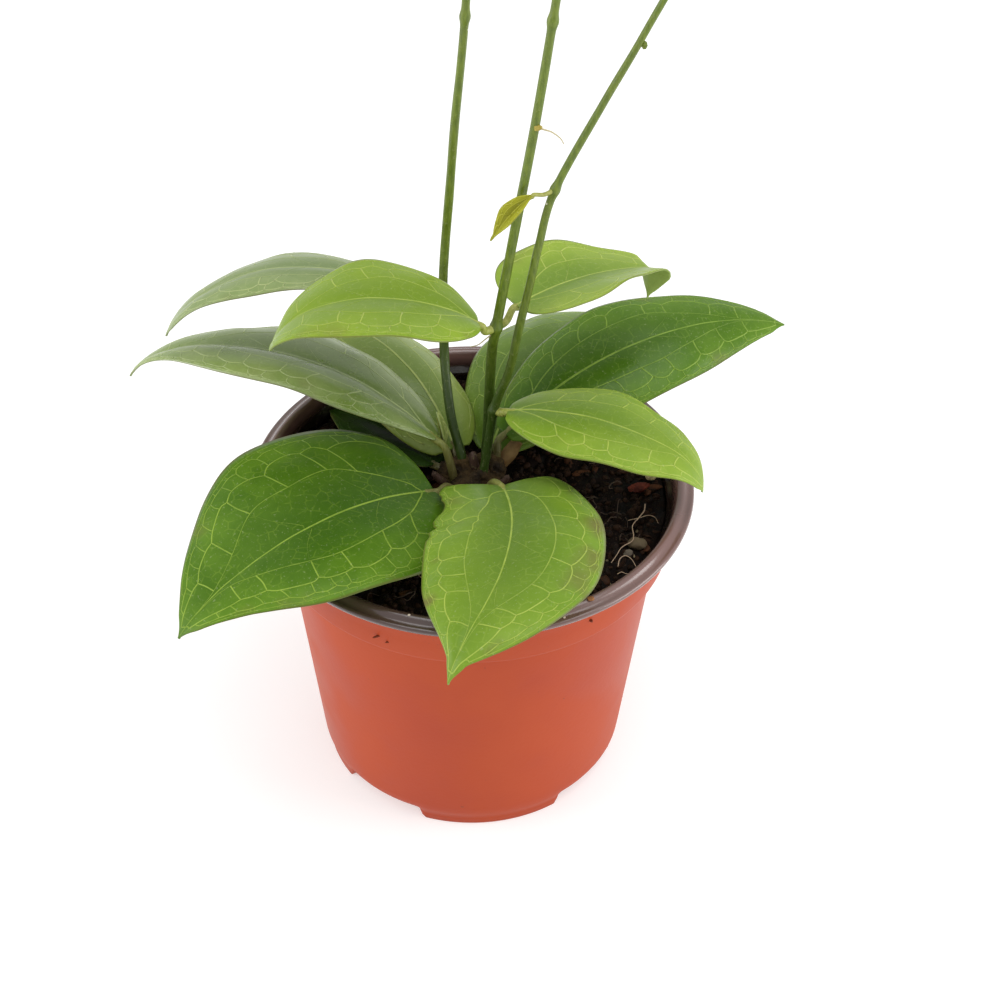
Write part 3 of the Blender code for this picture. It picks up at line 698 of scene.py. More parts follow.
# ---------------------------------------------------------------- leaves
@dataclass(frozen=True)
class Leaf:
    """One blade on its petiole. The midrib is an arc that leaves the base and droops towards the tip."""

    name: str
    base: Point                  # where the blade starts
    stalk: tuple[Point, ...]     # petiole points before the base; none where it grows from a vine's node
    heading: float
    rise: float
    droop: float
    length: float
    width: float
    finish: LeafFinish
    tip_droop: float = 20.0
    tip_start: float = 0.72
    tip_span: float = 0.0        # share of the length that the bend takes; none lets it run to the tip
    turn: float = 0.0
    roll: float = 0.0
    twist: float = 0.0
    camber: float = 25.0
    fold: float = 5.0
    peak: float = 0.85
    fullness: float = 0.7
    taper: float = 0.5
    lobe: float = 0.0
    lean: float = 0.0
    wave: float = 0.6
    waves: float = 2.5
    wave_start: float = 0.0
    bite: tuple[float, float, float] = (0.0, 0.5, 0.1)
    nibble: float = 0.0          # depth of the small nicks around the bite, as a share of the half width
    thickness: float = 0.9
    stalk_radius: float = 1.25
    vine: str = ""
    node: float = 0.0
    rows: int = 84
    columns: int = 44
    wedge: float = 0.0           # least slope of the margin towards the tip

    def midrib_frames(self, steps: int = 120, before: int = 24) -> list[list]:
        """Points and directions along the midrib, from a little before the base to the tip."""
        step = 1.0 / steps
        rows = []
        for k in range(-before, steps + 1):
            s = k * step
            t = max(0.0, s)
            bend = self.tip_span or 1.0 - self.tip_start
            hook = min(1.0, max(0.0, (s - self.tip_start) / bend)) ** 2
            slope = math.radians(self.rise - self.droop * t - self.tip_droop * hook)
            heading = math.radians(self.heading + self.turn * t)
            roll = math.radians(self.roll + self.twist * t)
            along = Vector((math.cos(slope) * math.cos(heading), math.cos(slope) * math.sin(heading),
                            math.sin(slope)))
            left = Vector((-math.sin(heading), math.cos(heading), 0.0))
            side = left * math.cos(roll) + along.cross(left) * math.sin(roll)
            rows.append([s, None, side, along.cross(side), along])
        rows[before][1] = Vector(self.base)
        for k in range(before + 1, len(rows)):
            middle = (rows[k][4] + rows[k - 1][4]) / 2
            rows[k][1] = rows[k - 1][1] + middle * step * self.length
        for k in range(before - 1, -1, -1):
            rows[k][1] = rows[k + 1][1] - rows[k][4] * step * self.length
        return rows

    @staticmethod
    def at(rows: list[list], s: float) -> list[Vector]:
        """The midrib's point, side and normal at a share of its length."""
        step = rows[1][0] - rows[0][0]
        place = min(max((s - rows[0][0]) / step, 0.0), len(rows) - 1.001)
        i = int(place)
        return [rows[i][k].lerp(rows[i + 1][k], place - i) for k in (1, 2, 3)]

    def half_width(self, t: float) -> float:
        """Half the blade's width, as a share of its greatest, before the sides are told apart."""
        return math.sin(math.pi * min(t, 1.0) ** self.peak) ** self.fullness * (1.0 - self.taper * t ** 7)

    def half_at(self, widest: float, t: float, u: float) -> float:
        """Half the blade's width in millimetres on one side of the midrib."""
        least = max(0.35 * (1.0 - 0.5 * max(0.0, (t - 0.94) / 0.06)), self.wedge * (1.0 - t) * self.length)
        half = self.width / 2 * self.half_width(t) / widest
        half = max(least, half) if t > 0.5 else max(0.35, half)
        half *= 1.0 - 0.7 * min(1.0, max(0.0, (t - POINT_START) / (BLADE_END - POINT_START))) ** 1.4
        depth, place, spread = self.bite
        if u < 0:
            half *= 1.0 - depth * math.exp(-((t - place) / spread) ** 2)
            nick = max(0.0, noise.noise(Vector((t * 34.0, 2.7, 0.4))) + 0.15)
            half *= 1.0 - self.nibble * nick * math.exp(-((t - place - spread) / (3.2 * spread)) ** 2)
        return half

    def blade_point(self, rows: list[list], widest: float, t: float, u: float) -> tuple[Vector, Vector, float]:
        """A point of the blade's top: t runs from base to tip, and u from the right margin (-1) to the left (1).

        Args:
            rows: The midrib's frames.
            widest: The half width's greatest share.
            t: Share of the length.
            u: Share of the half width.

        Returns:
            The point, the midrib's normal there and the half width.
        """
        reach = abs(u)
        lobe_end = 0.10
        back = self.lobe * (t / lobe_end) * math.exp(1.0 - t / lobe_end) * reach
        point, side, normal = self.at(rows, t - back)
        half = self.half_at(widest, t, u)
        parts = 6
        out = rise = 0.0
        for k in range(parts):
            angle = math.radians(self.fold - self.camber * (k + 0.5) / parts * reach)
            out += math.cos(angle) / parts
            rise += math.sin(angle) / parts
        swell = self.wave * reach ** 3 * math.sin(math.pi * t) * math.sin(
            2 * math.pi * (self.waves * t + self.wave_start) + (1.1 if u > 0 else 0.0))
        toward = math.copysign(1.0, u)
        across = out * reach * half * toward * (1.0 + self.lean * toward)
        return point + side * across + normal * (rise * reach * half + swell), normal, half

    def relief(self, t: float, u: float, half: float) -> float:
        """How far the top stands off its plain sheet: a shallow groove along the midrib and soft swells."""
        away = abs(u) * half
        groove = -0.16 * math.exp(-(away / 1.9) ** 2)
        size = min(1.0, half / 8.0)
        puff = noise.noise(Vector((u * half * 0.13 + self.finish.seed * 9.0, t * self.length * 0.09, 3.1)))
        return (groove * min(1.0, (1.0 - t) * 8.0) + 0.34 * puff) * size

    def build_blade(self) -> bpy.types.Object:
        """Make the blade as a closed shell: thick along the midrib, thin and rounded at the margin."""
        frames = self.midrib_frames()
        widest = max(self.half_width(k / 200) for k in range(1, 200))
        first, last = BLADE_START, BLADE_END
        evens = [2 * k / self.columns - 1 for k in range(self.columns + 1)]
        columns = [math.copysign(abs(x) ** 1.12, x) for x in evens]
        points, places, flats, spans = [], [], [], []

        def keep(point: Vector, u: float, t: float, face: float, half: float) -> int:
            """Store one corner with what its finish needs, and return its number."""
            points.append(point)
            places.append((u, t, face))
            flats.append((u * half, t * self.length, 0.0))
            spans.append(half)
            return len(points) - 1

        loops = []
        for i in range(self.rows + 1):
            even = i / self.rows
            eased = 0.6 * (0.5 - 0.5 * math.cos(math.pi * even)) + 0.4 * even
            t = first + (last - first) * eased
            upper, lower = [], []
            near = [self.blade_point(frames, widest, min(max(t + d, 0.0), 1.0), 0.0)[0] for d in (-0.01, 0.01)]
            along = (near[1] - near[0]).normalized()
            row = [self.blade_point(frames, widest, t, u) for u in columns]
            for j, u in enumerate(columns):
                point, normal, half = row[j]
                across = row[min(j + 1, len(row) - 1)][0] - row[max(j - 1, 0)][0]
                up = along.cross(across).normalized()
                if up.dot(normal) < 0:
                    up = -up
                share = abs(u)
                thick = self.thickness * (1.0 - 0.52 * share ** 2.2) * (0.62 + 0.38 * min(1.0, half / 5.0))
                lift = self.relief(t, u, half)
                edge = math.sqrt(max(0.0, 1.0 - max(0.0, (share - 0.955) / 0.045) ** 2 * 0.85))
                middle = point + up * (lift - thick * 0.5)
                upper.append(keep(middle + up * thick * 0.5 * edge, u, t, 1.0, half))
                lower.append(keep(middle - up * thick * 0.5 * edge, u, t, -1.0, half))
            loops.append(upper + lower[::-1])
        faces = []
        count = len(loops[0])
        for one, two in zip(loops, loops[1:]):
            for k in range(count):
                n = (k + 1) % count
                faces.append((one[k], one[n], two[n], two[k]))
        for loop, t, closing in ((loops[0], first, 1), (loops[-1], last, -1)):
            centre = sum((points[k] for k in loop), Vector()) / count
            pole = keep(centre, 0.0, t, 0.0, spans[loop[0]])
            for k in range(count):
                pair = (loop[(k + 1) % count], loop[k])
                faces.append((pole, *(pair if closing > 0 else pair[::-1])))
        veins = VeinNet(self.length, self.width, self.finish.inner, self.finish.cell, self.finish.number)
        extra, more, facts = VeinMaker(self, frames, widest).strips(veins.strands())
        shift = len(points)
        skin_faces = len(faces)
        faces += [tuple(k + shift for k in face) for face in more]
        strengths = [0.0] * shift + facts["vein"]
        places, flats, spans = places + facts["place"], flats + facts["flat"], spans + facts["span"]
        item = mesh_piece(self.name + "_skin", np.array([tuple(p) for p in points + extra]), faces,
                          self.finish.make(self.name))
        mesh = item.data
        for label, values in (("place", places), ("flat", flats)):
            kept = mesh.attributes.new(label, 'FLOAT_VECTOR', 'POINT')
            kept.data.foreach_set("vector", [x for value in values for x in value])
        for label, values in (("span", spans), ("vein", strengths)):
            mesh.attributes.new(label, 'FLOAT', 'POINT').data.foreach_set("value", values)
        shape = bmesh.new()
        shape.from_mesh(mesh)
        bmesh.ops.recalc_face_normals(shape, faces=shape.faces)
        shape.to_mesh(mesh)
        shape.free()
        log.info("%s: %d skin faces, %d vein faces", self.name, skin_faces, len(more))
        return item

    def stalk_line(self, vines: "dict[str, Vine]") -> tuple[list[Vector], list[float]]:
        """The petiole's route and radii: from its start to the blade, then fading out as the rib below it.

        Args:
            vines: Every vine by name.

        Returns:
            Points and radii.
        """
        frames = self.midrib_frames()
        if self.stalk:
            start = [Vector(place) for place in self.stalk]
        else:
            start = vines[self.vine].seat(Vector(self.base), self.node)
        sink = self.thickness * 0.5
        entry = [self.at(frames, t)[0] - self.at(frames, t)[2] * (sink + down * self.stalk_radius)
                 for t, down in ((-0.012, 0.10), (0.02, 0.42), (0.055, 0.66))]
        path = smooth_path(start + entry, 7 * (len(start) + 2))
        lead = len(path)
        rib = [self.at(frames, t)[0] - self.at(frames, t)[2] * (sink + 0.42)
               for t in (0.10, 0.17, 0.26, 0.36, 0.48, 0.60, 0.72, 0.82)]
        radii = [self.stalk_radius * (1.0 - 0.16 * math.sin(math.pi * k / (lead - 1))) for k in range(lead)]
        for k in range(lead - 5, lead):
            radii[k] = self.stalk_radius * (1.0, 0.98, 0.9, 0.8, 0.68)[k - lead + 5]
        slim = self.stalk_radius * 0.55
        radii += [max(0.16, slim * (1.0 - 0.1 * k)) for k in range(len(rib))]
        return rounded_ends(path + rib, radii, start=False)

    def build(self, tubes: TubeMaker, vines: "dict[str, Vine]", stalks: bpy.types.Material) -> bpy.types.Object:
        """Make the whole leaf as one piece and let it stand for its solid.

        Args:
            tubes: The stem maker.
            vines: Every vine by name.
            stalks: The petioles' finish.

        Returns:
            The leaf.
        """
        blade = self.build_blade()
        stalk = tubes.sweep(self.name + "_petiole", [self.stalk_line(vines)], stalks, 14)
        return settle(joined(self.name + "_leaf", [blade, stalk]), self.name)


def joined(name: str, items: list[bpy.types.Object]) -> bpy.types.Object:
    """Join several meshes into one object, keeping their finishes.

    Args:
        name: The new piece's name.
        items: The objects; the first one is kept.

    Returns:
        The joined piece.
    """
    bpy.ops.object.select_all(action='DESELECT')
    for item in items:
        item.select_set(True)
    bpy.context.view_layer.objects.active = items[0]
    bpy.ops.object.join()
    items[0].name = name
    items[0].data.name = name
    return items[0]


# ---------------------------------------------------------------- vines
@dataclass(frozen=True)
class Vine:
    """A climbing stem: its route, its radii and the heights of its nodes."""

    name: str
    points: tuple[Point, ...]
    radius: float
    tip_radius: float
    nodes: tuple[float, ...]

    def path(self) -> list[Vector]:
        """The stem's smooth points, closer together at its nodes."""
        rough = smooth_path(list(self.points), 90)
        fine = smooth_path(list(self.points), 1200)
        kept = [p for p in rough if all(abs(p.z - node) > 3.2 for node in self.nodes)]
        for node in self.nodes:
            for step in (-3.0, -2.2, -1.5, -0.9, -0.4, 0.0, 0.4, 0.9, 1.5, 2.2, 3.0):
                kept.append(min(fine, key=lambda place: abs(place.z - node - step)))
        return sorted(kept, key=lambda place: place.z)

    def radii(self, path: list[Vector]) -> list[float]:
        """Even thickness, swollen at each node, drawn out to a slim tip."""
        start, top = path[0].z, path[-1].z
        radii = []
        for place in path:
            along = (place.z - start) / (top - start)
            radius = self.radius + (self.tip_radius - self.radius) * along ** 1.5
            radius *= 1.0 - 0.55 * max(0.0, (along - 0.94) / 0.06) ** 2
            swelling = sum(math.exp(-((place.z - node) / 1.5) ** 2) for node in self.nodes)
            uneven = 0.05 * noise.noise(place * 0.11)
            radii.append(radius * (1.0 + (NODE_SWELL - 1.0) * swelling + uneven))
        return radii

    def seat(self, base: Vector, node: float) -> list[Vector]:
        """Two points level with a node: one inside the stem's skin, and one further out towards the blade."""
        axis = min(smooth_path(list(self.points), 400), key=lambda place: abs(place.z - node))
        out = (base - axis) * Vector((1.0, 1.0, 0.0))
        reach = out.length
        out.normalize()
        start = self.radius * NODE_SWELL + SEAT_GAP
        return [axis + out * 0.6, axis + out * min(start + 1.5, (start + reach) / 2)]

    def build(self, tubes: TubeMaker, material: bpy.types.Material) -> bpy.types.Object:
        """Make the stem and let it stand for its solid."""
        path = self.path()
        line = rounded_ends(path, self.radii(path))
        return settle(tubes.sweep(self.name + "_stem", [line], material, 20), self.name)


VINES = (
    Vine("vine_left", ((-1.6, 7.0, 84.5), (-2.95, 8.0, 93.3), (-5.8, 12.0, 103.3), (-7.4, 17.0, 113.2),
                       (-8.1, 21.0, 122.7), (-8.2, 23.0, 143.5), (-6.3, 23.0, 171.7), (-5.0, 22.0, 190.7),
                       (-3.4, 21.0, 208.5), (-2.2, 20.0, 225.5), (-0.4, 18.6, 262.0), (2.6, 17.0, 305.0)),
         1.3, 0.75, (126.0, 221.0)),
    Vine("vine_middle", ((3.1, 8.4, 84.5), (3.8, 9.0, 98.9), (4.2, 9.3, 111.6), (4.9, 6.6, 131.0),
                         (5.9, 4.0, 140.5), (10.1, 4.0, 169.4), (14.7, 5.0, 200.2), (18.9, 6.0, 233.0),
                         (23.6, 7.6, 274.0), (27.0, 9.4, 312.0)),
         1.4, 0.75, (140.8, 228.0)),
    Vine("vine_right", ((2.0, 3.6, 84.5), (2.6, 4.0, 89.0), (4.3, 5.2, 102.3), (5.8, 5.6, 113.4),
                        (9.5, 4.6, 126.3), (11.9, 3.8, 141.0), (14.5, 3.6, 155.4), (16.4, 4.0, 166.5),
                        (20.0, 5.0, 182.2), (31.1, 6.0, 206.5), (39.9, 7.0, 224.6), (51.0, 8.6, 250.0),
                        (60.0, 10.0, 286.0)),
         1.2, 0.65, (112.0, 182.2)),
)

LEAVES = (
    Leaf("leaf_far_left", (-10.9, 22.9, 128.6), (), 169.5, 47.0, 98.5, 85.0, 27.0,
         LeafFinish((96, 118, 58), (118, 138, 78), (150, 163, 110), (176, 188, 124), wax=0.6, rough=0.32, seed=0.1), tip_droop=22.5,
         tip_start=0.76, turn=28.5, roll=6.5, twist=15.0, camber=30.5, fold=6.0, peak=0.95, fullness=0.73, taper=0.31,
         lean=-0.09, vine="vine_left", node=125.0),
    Leaf("leaf_upper_left", (2.2, 1.4, 143.7), (), 192.0, 41.0, 77.0, 64.0, 40.5,
         LeafFinish((97, 125, 22), (117, 145, 32), (135, 160, 44), (170, 186, 86), wax=0.25, seed=0.2), tip_droop=44.0,
         tip_start=0.53, turn=-5.0, roll=-2.0, twist=19.5, camber=17.5, fold=9.5, peak=0.94, fullness=0.65,
         taper=0.22, lean=0.03, stalk_radius=1.15, vine="vine_middle", node=140.8),
    Leaf("leaf_mid_left", (-8.5, 6.1, 100.5), ((-5.0, 4.2, 88.6), (-6.6, 5.2, 96.0)), 151.5, 35.0, 62.0, 100.5, 37.0,
         LeafFinish((90, 112, 38), (112, 136, 58), (148, 164, 94), (174, 188, 118), wax=1.1, rough=0.30, seed=0.3), tip_droop=40.0,
         turn=27.5, roll=7.0, twist=11.5, camber=47.0, fold=18.0, peak=0.94, fullness=0.88, taper=0.65, lean=-0.1),
    Leaf("leaf_back_left", (-4.4, 11.2, 92.4), ((-4.4, 10.6, 86.6),), 117.5, 42.0, 86.5, 86.0, 33.0,
         LeafFinish((88, 112, 32), (112, 134, 44), (140, 156, 68), (170, 182, 100), wax=0.5, rough=0.33, seed=0.4), tip_droop=17.0,
         turn=32.5, roll=3.0, twist=6.5, camber=30.0, fold=-6.5, peak=0.65, fullness=0.65, lean=0.02),
    # leaf_under_left: its greens, far darker than the other blades', are partly its own colour and partly painted
    # shade, as it lies low under the others
    Leaf("leaf_under_left", (-9.7, 8.3, 90.7), ((-6.0, 7.2, 88.2),), 136.0, 10.0, 20.0, 40.0, 27.0,
         LeafFinish((24, 46, 8), (34, 58, 12), (46, 70, 18), (58, 82, 28), wax=0.05, rib=0.5, dull=0.0, seed=0.5), tip_droop=12.0, turn=14.0,
         roll=20.0, twist=-10.0, camber=17.0, peak=0.73),
    Leaf("leaf_upper_right", (10.6, 8.8, 144.1), (), 40.5, 6.0, 29.0, 55.0, 33.0,
         LeafFinish((94, 124, 32), (124, 152, 42), (148, 170, 58), (182, 196, 96), wax=0.35, seed=0.6), tip_droop=72.0,
         tip_start=0.775, tip_span=0.055, turn=-16.0, roll=1.0, twist=-21.5, camber=-2.5, fold=12.5, peak=0.64, fullness=0.69,
         taper=0.85, lobe=0.03, stalk_radius=1.15, vine="vine_middle", node=140.8),
    Leaf("leaf_right", (7.4, 12.6, 97.0), ((6.0, 9.8, 88.4), (6.6, 11.2, 93.4)), 35.0, 34.0, 56.0, 96.5, 36.0,
         LeafFinish((48, 80, 8), (71, 107, 14), (96, 130, 28), (146, 174, 72), wax=0.24, rib=0.66, rough=0.32, seed=0.7), tip_droop=7.0, turn=-16.0,
         roll=15.0, camber=33.0, fold=3.0, peak=0.84, fullness=0.72, taper=0.42, lean=0.05),
    Leaf("leaf_back", (4.3, 13.8, 89.8), ((3.7, 12.8, 86.8),), 68.0, 37.0, 74.0, 78.0, 44.0,
         LeafFinish((60, 88, 16), (86, 115, 28), (118, 147, 50), (156, 180, 84), wax=0.28, seed=0.8), tip_droop=-20.0,
         turn=-15.0, roll=-7.0, camber=33.0, fold=2.0, peak=0.93, fullness=0.6, taper=0.54, lean=-0.05, twist=14.0),
    Leaf("leaf_right_front", (8.5, 4.2, 113.4), (), -15.5, 18.5, 53.0, 64.0, 34.0,
         LeafFinish((90, 120, 30), (116, 146, 40), (142, 166, 54), (176, 192, 88), wax=0.25, seed=0.9), tip_droop=66.0,
         tip_start=0.68, turn=-7.5, roll=-2.5, twist=-4.0, camber=21.0, fold=0.5, peak=0.79, lean=0.08,
         vine="vine_right", node=112.0),
    Leaf("leaf_front", (7.9, -15.3, 103.7), ((3.6, -0.4, 87.4), (5.6, -6.6, 97.0)), -76.5, 23.5, 31.0, 86.5, 46.5,
         LeafFinish((78, 108, 22), (104, 136, 34), (126, 154, 46), (172, 190, 84), wax=0.22, blush=0.8, seed=1.0), tip_droop=74.0,
         tip_start=0.7, turn=-47.0, roll=-2.5, twist=15.0, camber=40.0, fold=12.5, peak=0.87, fullness=0.38,
         taper=1.43, lobe=0.18, lean=0.05, wave=0.9, waves=3.0, bite=(0.14, 0.2, 0.05), nibble=0.15, wedge=0.42),
    Leaf("leaf_left_front", (-9.2, -10.2, 97.4), ((-3.8, 0.2, 87.4), (-6.8, -5.4, 94.4)), 214.5, 23.0, 52.0, 87.0,
         66.0, LeafFinish((46, 80, 8), (68, 104, 14), (100, 136, 30), (156, 182, 70), wax=0.18, cell=10.5, seed=1.1), tip_droop=18.0,
         turn=10.0, roll=-5.0, twist=12.0, camber=17.0, fold=4.0, peak=0.68, fullness=0.76, taper=0.72, lobe=0.07,
         lean=-0.15, wave=0.8),
    Leaf("leaf_young", (14.6, 0.6, 183.6), (), 200.0, -31.0, 26.0, 15.8, 5.8,
         LeafFinish((112, 112, 22), (144, 146, 26), (160, 160, 44), (174, 174, 64), wax=0.2, net=0.15, seed=1.2),
         tip_droop=-18.0, turn=10.0, roll=-24.0, camber=6.0, fold=34.0, taper=0.9, fullness=1.25, wave=0.2,
         thickness=0.6, stalk_radius=0.62, vine="vine_right", node=182.2),
    Leaf("bud_leaf", (-7.4, 8.7, 97.2), ((-6.2, 8.2, 91.0),), 165.0, 82.0, 8.0, 11.4, 3.6,
         LeafFinish((120, 140, 62), (150, 166, 86), (170, 184, 104), (190, 200, 124), seed=1.3), tip_droop=0.0,
         camber=10.0, fold=26.0, wave=0.0, thickness=0.6, stalk_radius=0.6),
)


# ---------------------------------------------------------------- pot
@dataclass(frozen=True)
class PotFinish:
    """Thin satin plastic, two-toned: one colour for the inside and lip, one for the outside; the inside may also carry
    painted shade and a painted leaf shadow.
    """

    colour: Colour
    worn: Colour
    rough: float = 0.42
    shade: Colour | None = None  # painted shade: the dark colour the wall turns down inside, where it lies in shade; also the painted leaf shadow's colour
    shine: float = 0.5
    shade_low: float = 88.5
    shade_high: float = 92.4
    # centre of a painted shadow of a leaf on the front-left of the lip, in millimetres
    leaf_shadow_spot: Point = (-20.0, -54.0, 92.0)
    gloss: float = 0.0           # weight of its polished skin

    def make(self, name: str) -> bpy.types.Material:
        """Build the plastic's material and return it."""
        material, graph, shader = new_material(name)
        spot = graph.add('ShaderNodeTexCoord').outputs["Object"]
        cloud = graph.group("mottle", {"Vector": spot, "Cloud Scale": 26.0, "Speck Scale": 260.0})
        body = graph.mix(graph.calc('MULTIPLY', cloud.outputs["Clouds"], 0.5), linear(self.colour), linear(self.worn))
        if self.shade:
            # painted shade: the inner wall darkens downwards below the lip, and a painted leaf shadow darkens the lip's
            # front-left
            height = graph.add('ShaderNodeSeparateXYZ', {0: spot}).outputs[2]
            inner_wall_painted_shade = graph.fade(height, self.shade_low * MM, self.shade_high * MM, 1.0, 0.0)
            body = graph.mix(inner_wall_painted_shade, body, linear(self.shade))
            # painted shadow: the lip is darker within a few centimetres of that spot
            spread = graph.add('ShaderNodeVectorMath', {0: spot, 1: Vector(self.leaf_shadow_spot) * MM}, operation='DISTANCE')
            painted_leaf_shadow = graph.fade(spread.outputs["Value"], 14.0 * MM, 48.0 * MM, 0.62, 0.0)
            body = graph.mix(painted_leaf_shadow, body, linear(self.shade))
        dirt = graph.fade(graph.noise(spot, 150.0, 4.0, 0.75), 0.68, 0.74)
        body = graph.mix(graph.calc('MULTIPLY', dirt, 0.5), body, linear((74, 48, 34)))
        graph.wire(shader.inputs["Base Color"], body)
        graph.wire(shader.inputs["Roughness"],
                   graph.fade(cloud.outputs["Clouds"], 0.0, 1.0, self.rough - 0.05, self.rough + 0.08))
        height = graph.calc('ADD', graph.noise(spot, 700.0, 2.0), graph.calc('MULTIPLY', dirt, 0.6))
        bump = graph.add('ShaderNodeBump', {"Strength": 0.12, "Distance": 0.0003, "Height": height})
        graph.wire(shader.inputs["Normal"], bump.outputs[0])
        shader.inputs["Specular IOR Level"].default_value = self.shine
        shader.inputs["Coat Weight"].default_value = self.gloss
        shader.inputs["Coat IOR"].default_value = 1.7
        shader.inputs["Coat Roughness"].default_value = 0.15
        return material


@dataclass
class Pot:
    """A thin moulded nursery pot: a two-tier collar, a stepped ledge and a foot ring with four drain notches."""

    steps: int = 256
    notch_turn: float = -36.0
    notch_height: float = 4.6
    notch_half_width: float = 12.6
    inside: tuple[tuple[float, float], ...] = (
        (0.0, 3.6), (20.0, 3.6), (38.8, 3.6), (40.6, 4.6), (42.0, 6.4), (42.3, 9.0), (46.0, 41.2), (49.6, 73.0),
        (50.0, 75.4), (50.6, 76.5), (52.4, 77.1), (53.4, 77.8), (53.5, 79.5), (53.1, 84.0), (52.8, 87.2),
        (53.2, 88.1), (54.1, 88.7), (54.6, 90.2), (55.2, 93.1))
    lip: tuple[tuple[float, float], ...] = (
        (55.6, 93.75), (56.3, 94.0), (57.0, 93.8), (57.5, 93.35), (58.0, 92.85), (58.6, 92.55), (59.1, 92.6),
        (59.6, 92.5), (59.95, 92.1), (60.0, 91.7), (59.85, 91.2), (59.4, 91.05))
    outside: tuple[tuple[float, float], ...] = (
        (58.2, 91.15), (57.3, 91.25), (57.0, 90.9), (57.0, 89.4), (56.8, 88.9), (56.0, 88.55), (55.5, 88.2),
        (55.3, 87.6), (54.9, 83.0), (54.45, 77.6), (54.3, 77.0), (53.8, 76.6), (52.0, 76.1), (51.3, 75.7),
        (51.05, 75.2), (51.0, 74.5), (47.2, 40.6), (43.6, 8.0), (43.35, 6.0), (42.9, 4.5), (42.3, 3.3), (42.05, 2.2),
        (42.0, 0.35), (41.7, 0.0), (39.1, 0.0), (38.75, 0.35), (38.6, 1.5), (38.2, 2.4), (37.4, 2.6),
        (26.0, 2.6), (13.4, 2.6), (12.5, 1.6), (12.1, 0.25), (11.8, 0.0), (6.0, 0.0), (0.0, 0.0))


    def ring_mesh(self) -> tuple[np.ndarray, list, list]:
        """The wall's corners, faces and the profile place of each face."""
        profile = np.array(self.inside + self.lip + self.outside)
        angles = np.arange(self.steps) * 2 * math.pi / self.steps
        points, rows = [], []
        for r, z in profile:
            if r < 1e-6:
                rows.append([len(points)] * self.steps)
                points.append((0.0, 0.0, z))
                continue
            rows.append(list(range(len(points), len(points) + self.steps)))
            for a in angles:
                points.append((r * math.cos(a), r * math.sin(a), z + self.notch_lift(r, a) * max(0.0, 1 - z / 5.2)))
        faces, places = [], []
        for k in range(len(rows) - 1):
            for i in range(self.steps):
                n = (i + 1) % self.steps
                corner = [rows[k][i], rows[k][n], rows[k + 1][n], rows[k + 1][i]]
                faces.append(list(dict.fromkeys(corner)))
                places.append(k)
        return np.array(points), faces, places

    def notch_lift(self, r: float, angle: float) -> float:
        """How far the foot is raised at a radius and angle."""
        if r < 37.8:
            return 0.0
        turn = (math.degrees(angle) - self.notch_turn + 45.0) % 90.0 - 45.0
        half = math.degrees(self.notch_half_width / 42.0)
        share = min(1.0, max(0.0, (half + 1.5 - abs(turn)) / 3.0))
        share = share * share * (3 - 2 * share)
        return self.notch_height * share * (0.55 if r < 40.0 else 1.0)

    def build(self) -> bpy.types.Object:
        """Make the pot in its two colours and let it stand for its solid."""
        points, faces, places = self.ring_mesh()
        outer = PotFinish((168, 57, 15), (184, 77, 34), 0.46, shine=0.26).make("orange_plastic")
        # its fourth colour is painted shade, for the wall down inside and for a leaf's painted shadow on the lip
        inner = PotFinish((112, 82, 76), (92, 66, 60), 0.24, (26, 17, 12), gloss=0.55).make("brown_plastic")
        item = mesh_piece("pot_shell", points, faces, outer)
        item.data.materials.append(inner)
        inside = len(self.inside) + len(self.lip) - 1
        item.data.polygons.foreach_set("material_index", [1 if k < inside else 0 for k in places])
        shape = bmesh.new()
        shape.from_mesh(item.data)
        bmesh.ops.recalc_face_normals(shape, faces=shape.faces)
        shape.to_mesh(item.data)
        shape.free()
        return settle(item, "pot")


# ---------------------------------------------------------------- soil
@dataclass(frozen=True)
class EarthFinish:
    """Damp potting mix or bark, almost black with paler fibres."""

    dark: Colour
    light: Colour
    grain: float = 600.0
    rough: float = 0.75
    relief: float = 0.0006
    shine: float = 0.12

    def make(self, name: str) -> bpy.types.Material:
        """Build the material and return it."""
        material, graph, shader = new_material(name)
        spot = graph.add('ShaderNodeTexCoord').outputs["Object"]
        cloud = graph.group("mottle", {"Vector": spot, "Cloud Scale": self.grain * 0.4, "Speck Scale": self.grain * 3})
        own = graph.add('ShaderNodeAttribute', attribute_name="shade").outputs["Fac"]
        tone = graph.calc('ADD', graph.calc('MULTIPLY', cloud.outputs["Clouds"], 0.7), graph.calc('POWER', own, 3.0),
                          clamp=True)
        body = graph.mix(tone, linear(self.dark), linear(self.light))
        body = graph.mix(graph.calc('MULTIPLY', cloud.outputs["Specks"], 0.35), body, linear((112, 84, 60)))
        graph.wire(shader.inputs["Base Color"], body)
        graph.wire(shader.inputs["Roughness"],
                   graph.fade(cloud.outputs["Clouds"], 0.0, 1.0, self.rough - 0.15, self.rough + 0.1))
        bump = graph.add('ShaderNodeBump', {"Strength": 0.7, "Distance": self.relief,
                                            "Height": graph.noise(spot, self.grain, 4.0, 0.7)})
        graph.wire(shader.inputs["Normal"], bump.outputs[0])
        shader.inputs["Specular IOR Level"].default_value = self.shine
        return material


@dataclass(frozen=True)
class Grit:
    """One sort of loose bits: how many, how big and how flat they lie."""

    name: str
    finish: EarthFinish
    density: float               # bits on each square metre
    smallest: Point              # half widths in millimetres
    largest: Point
    tilt: float                  # furthest lean, in degrees
    ragged: float
    seed: int


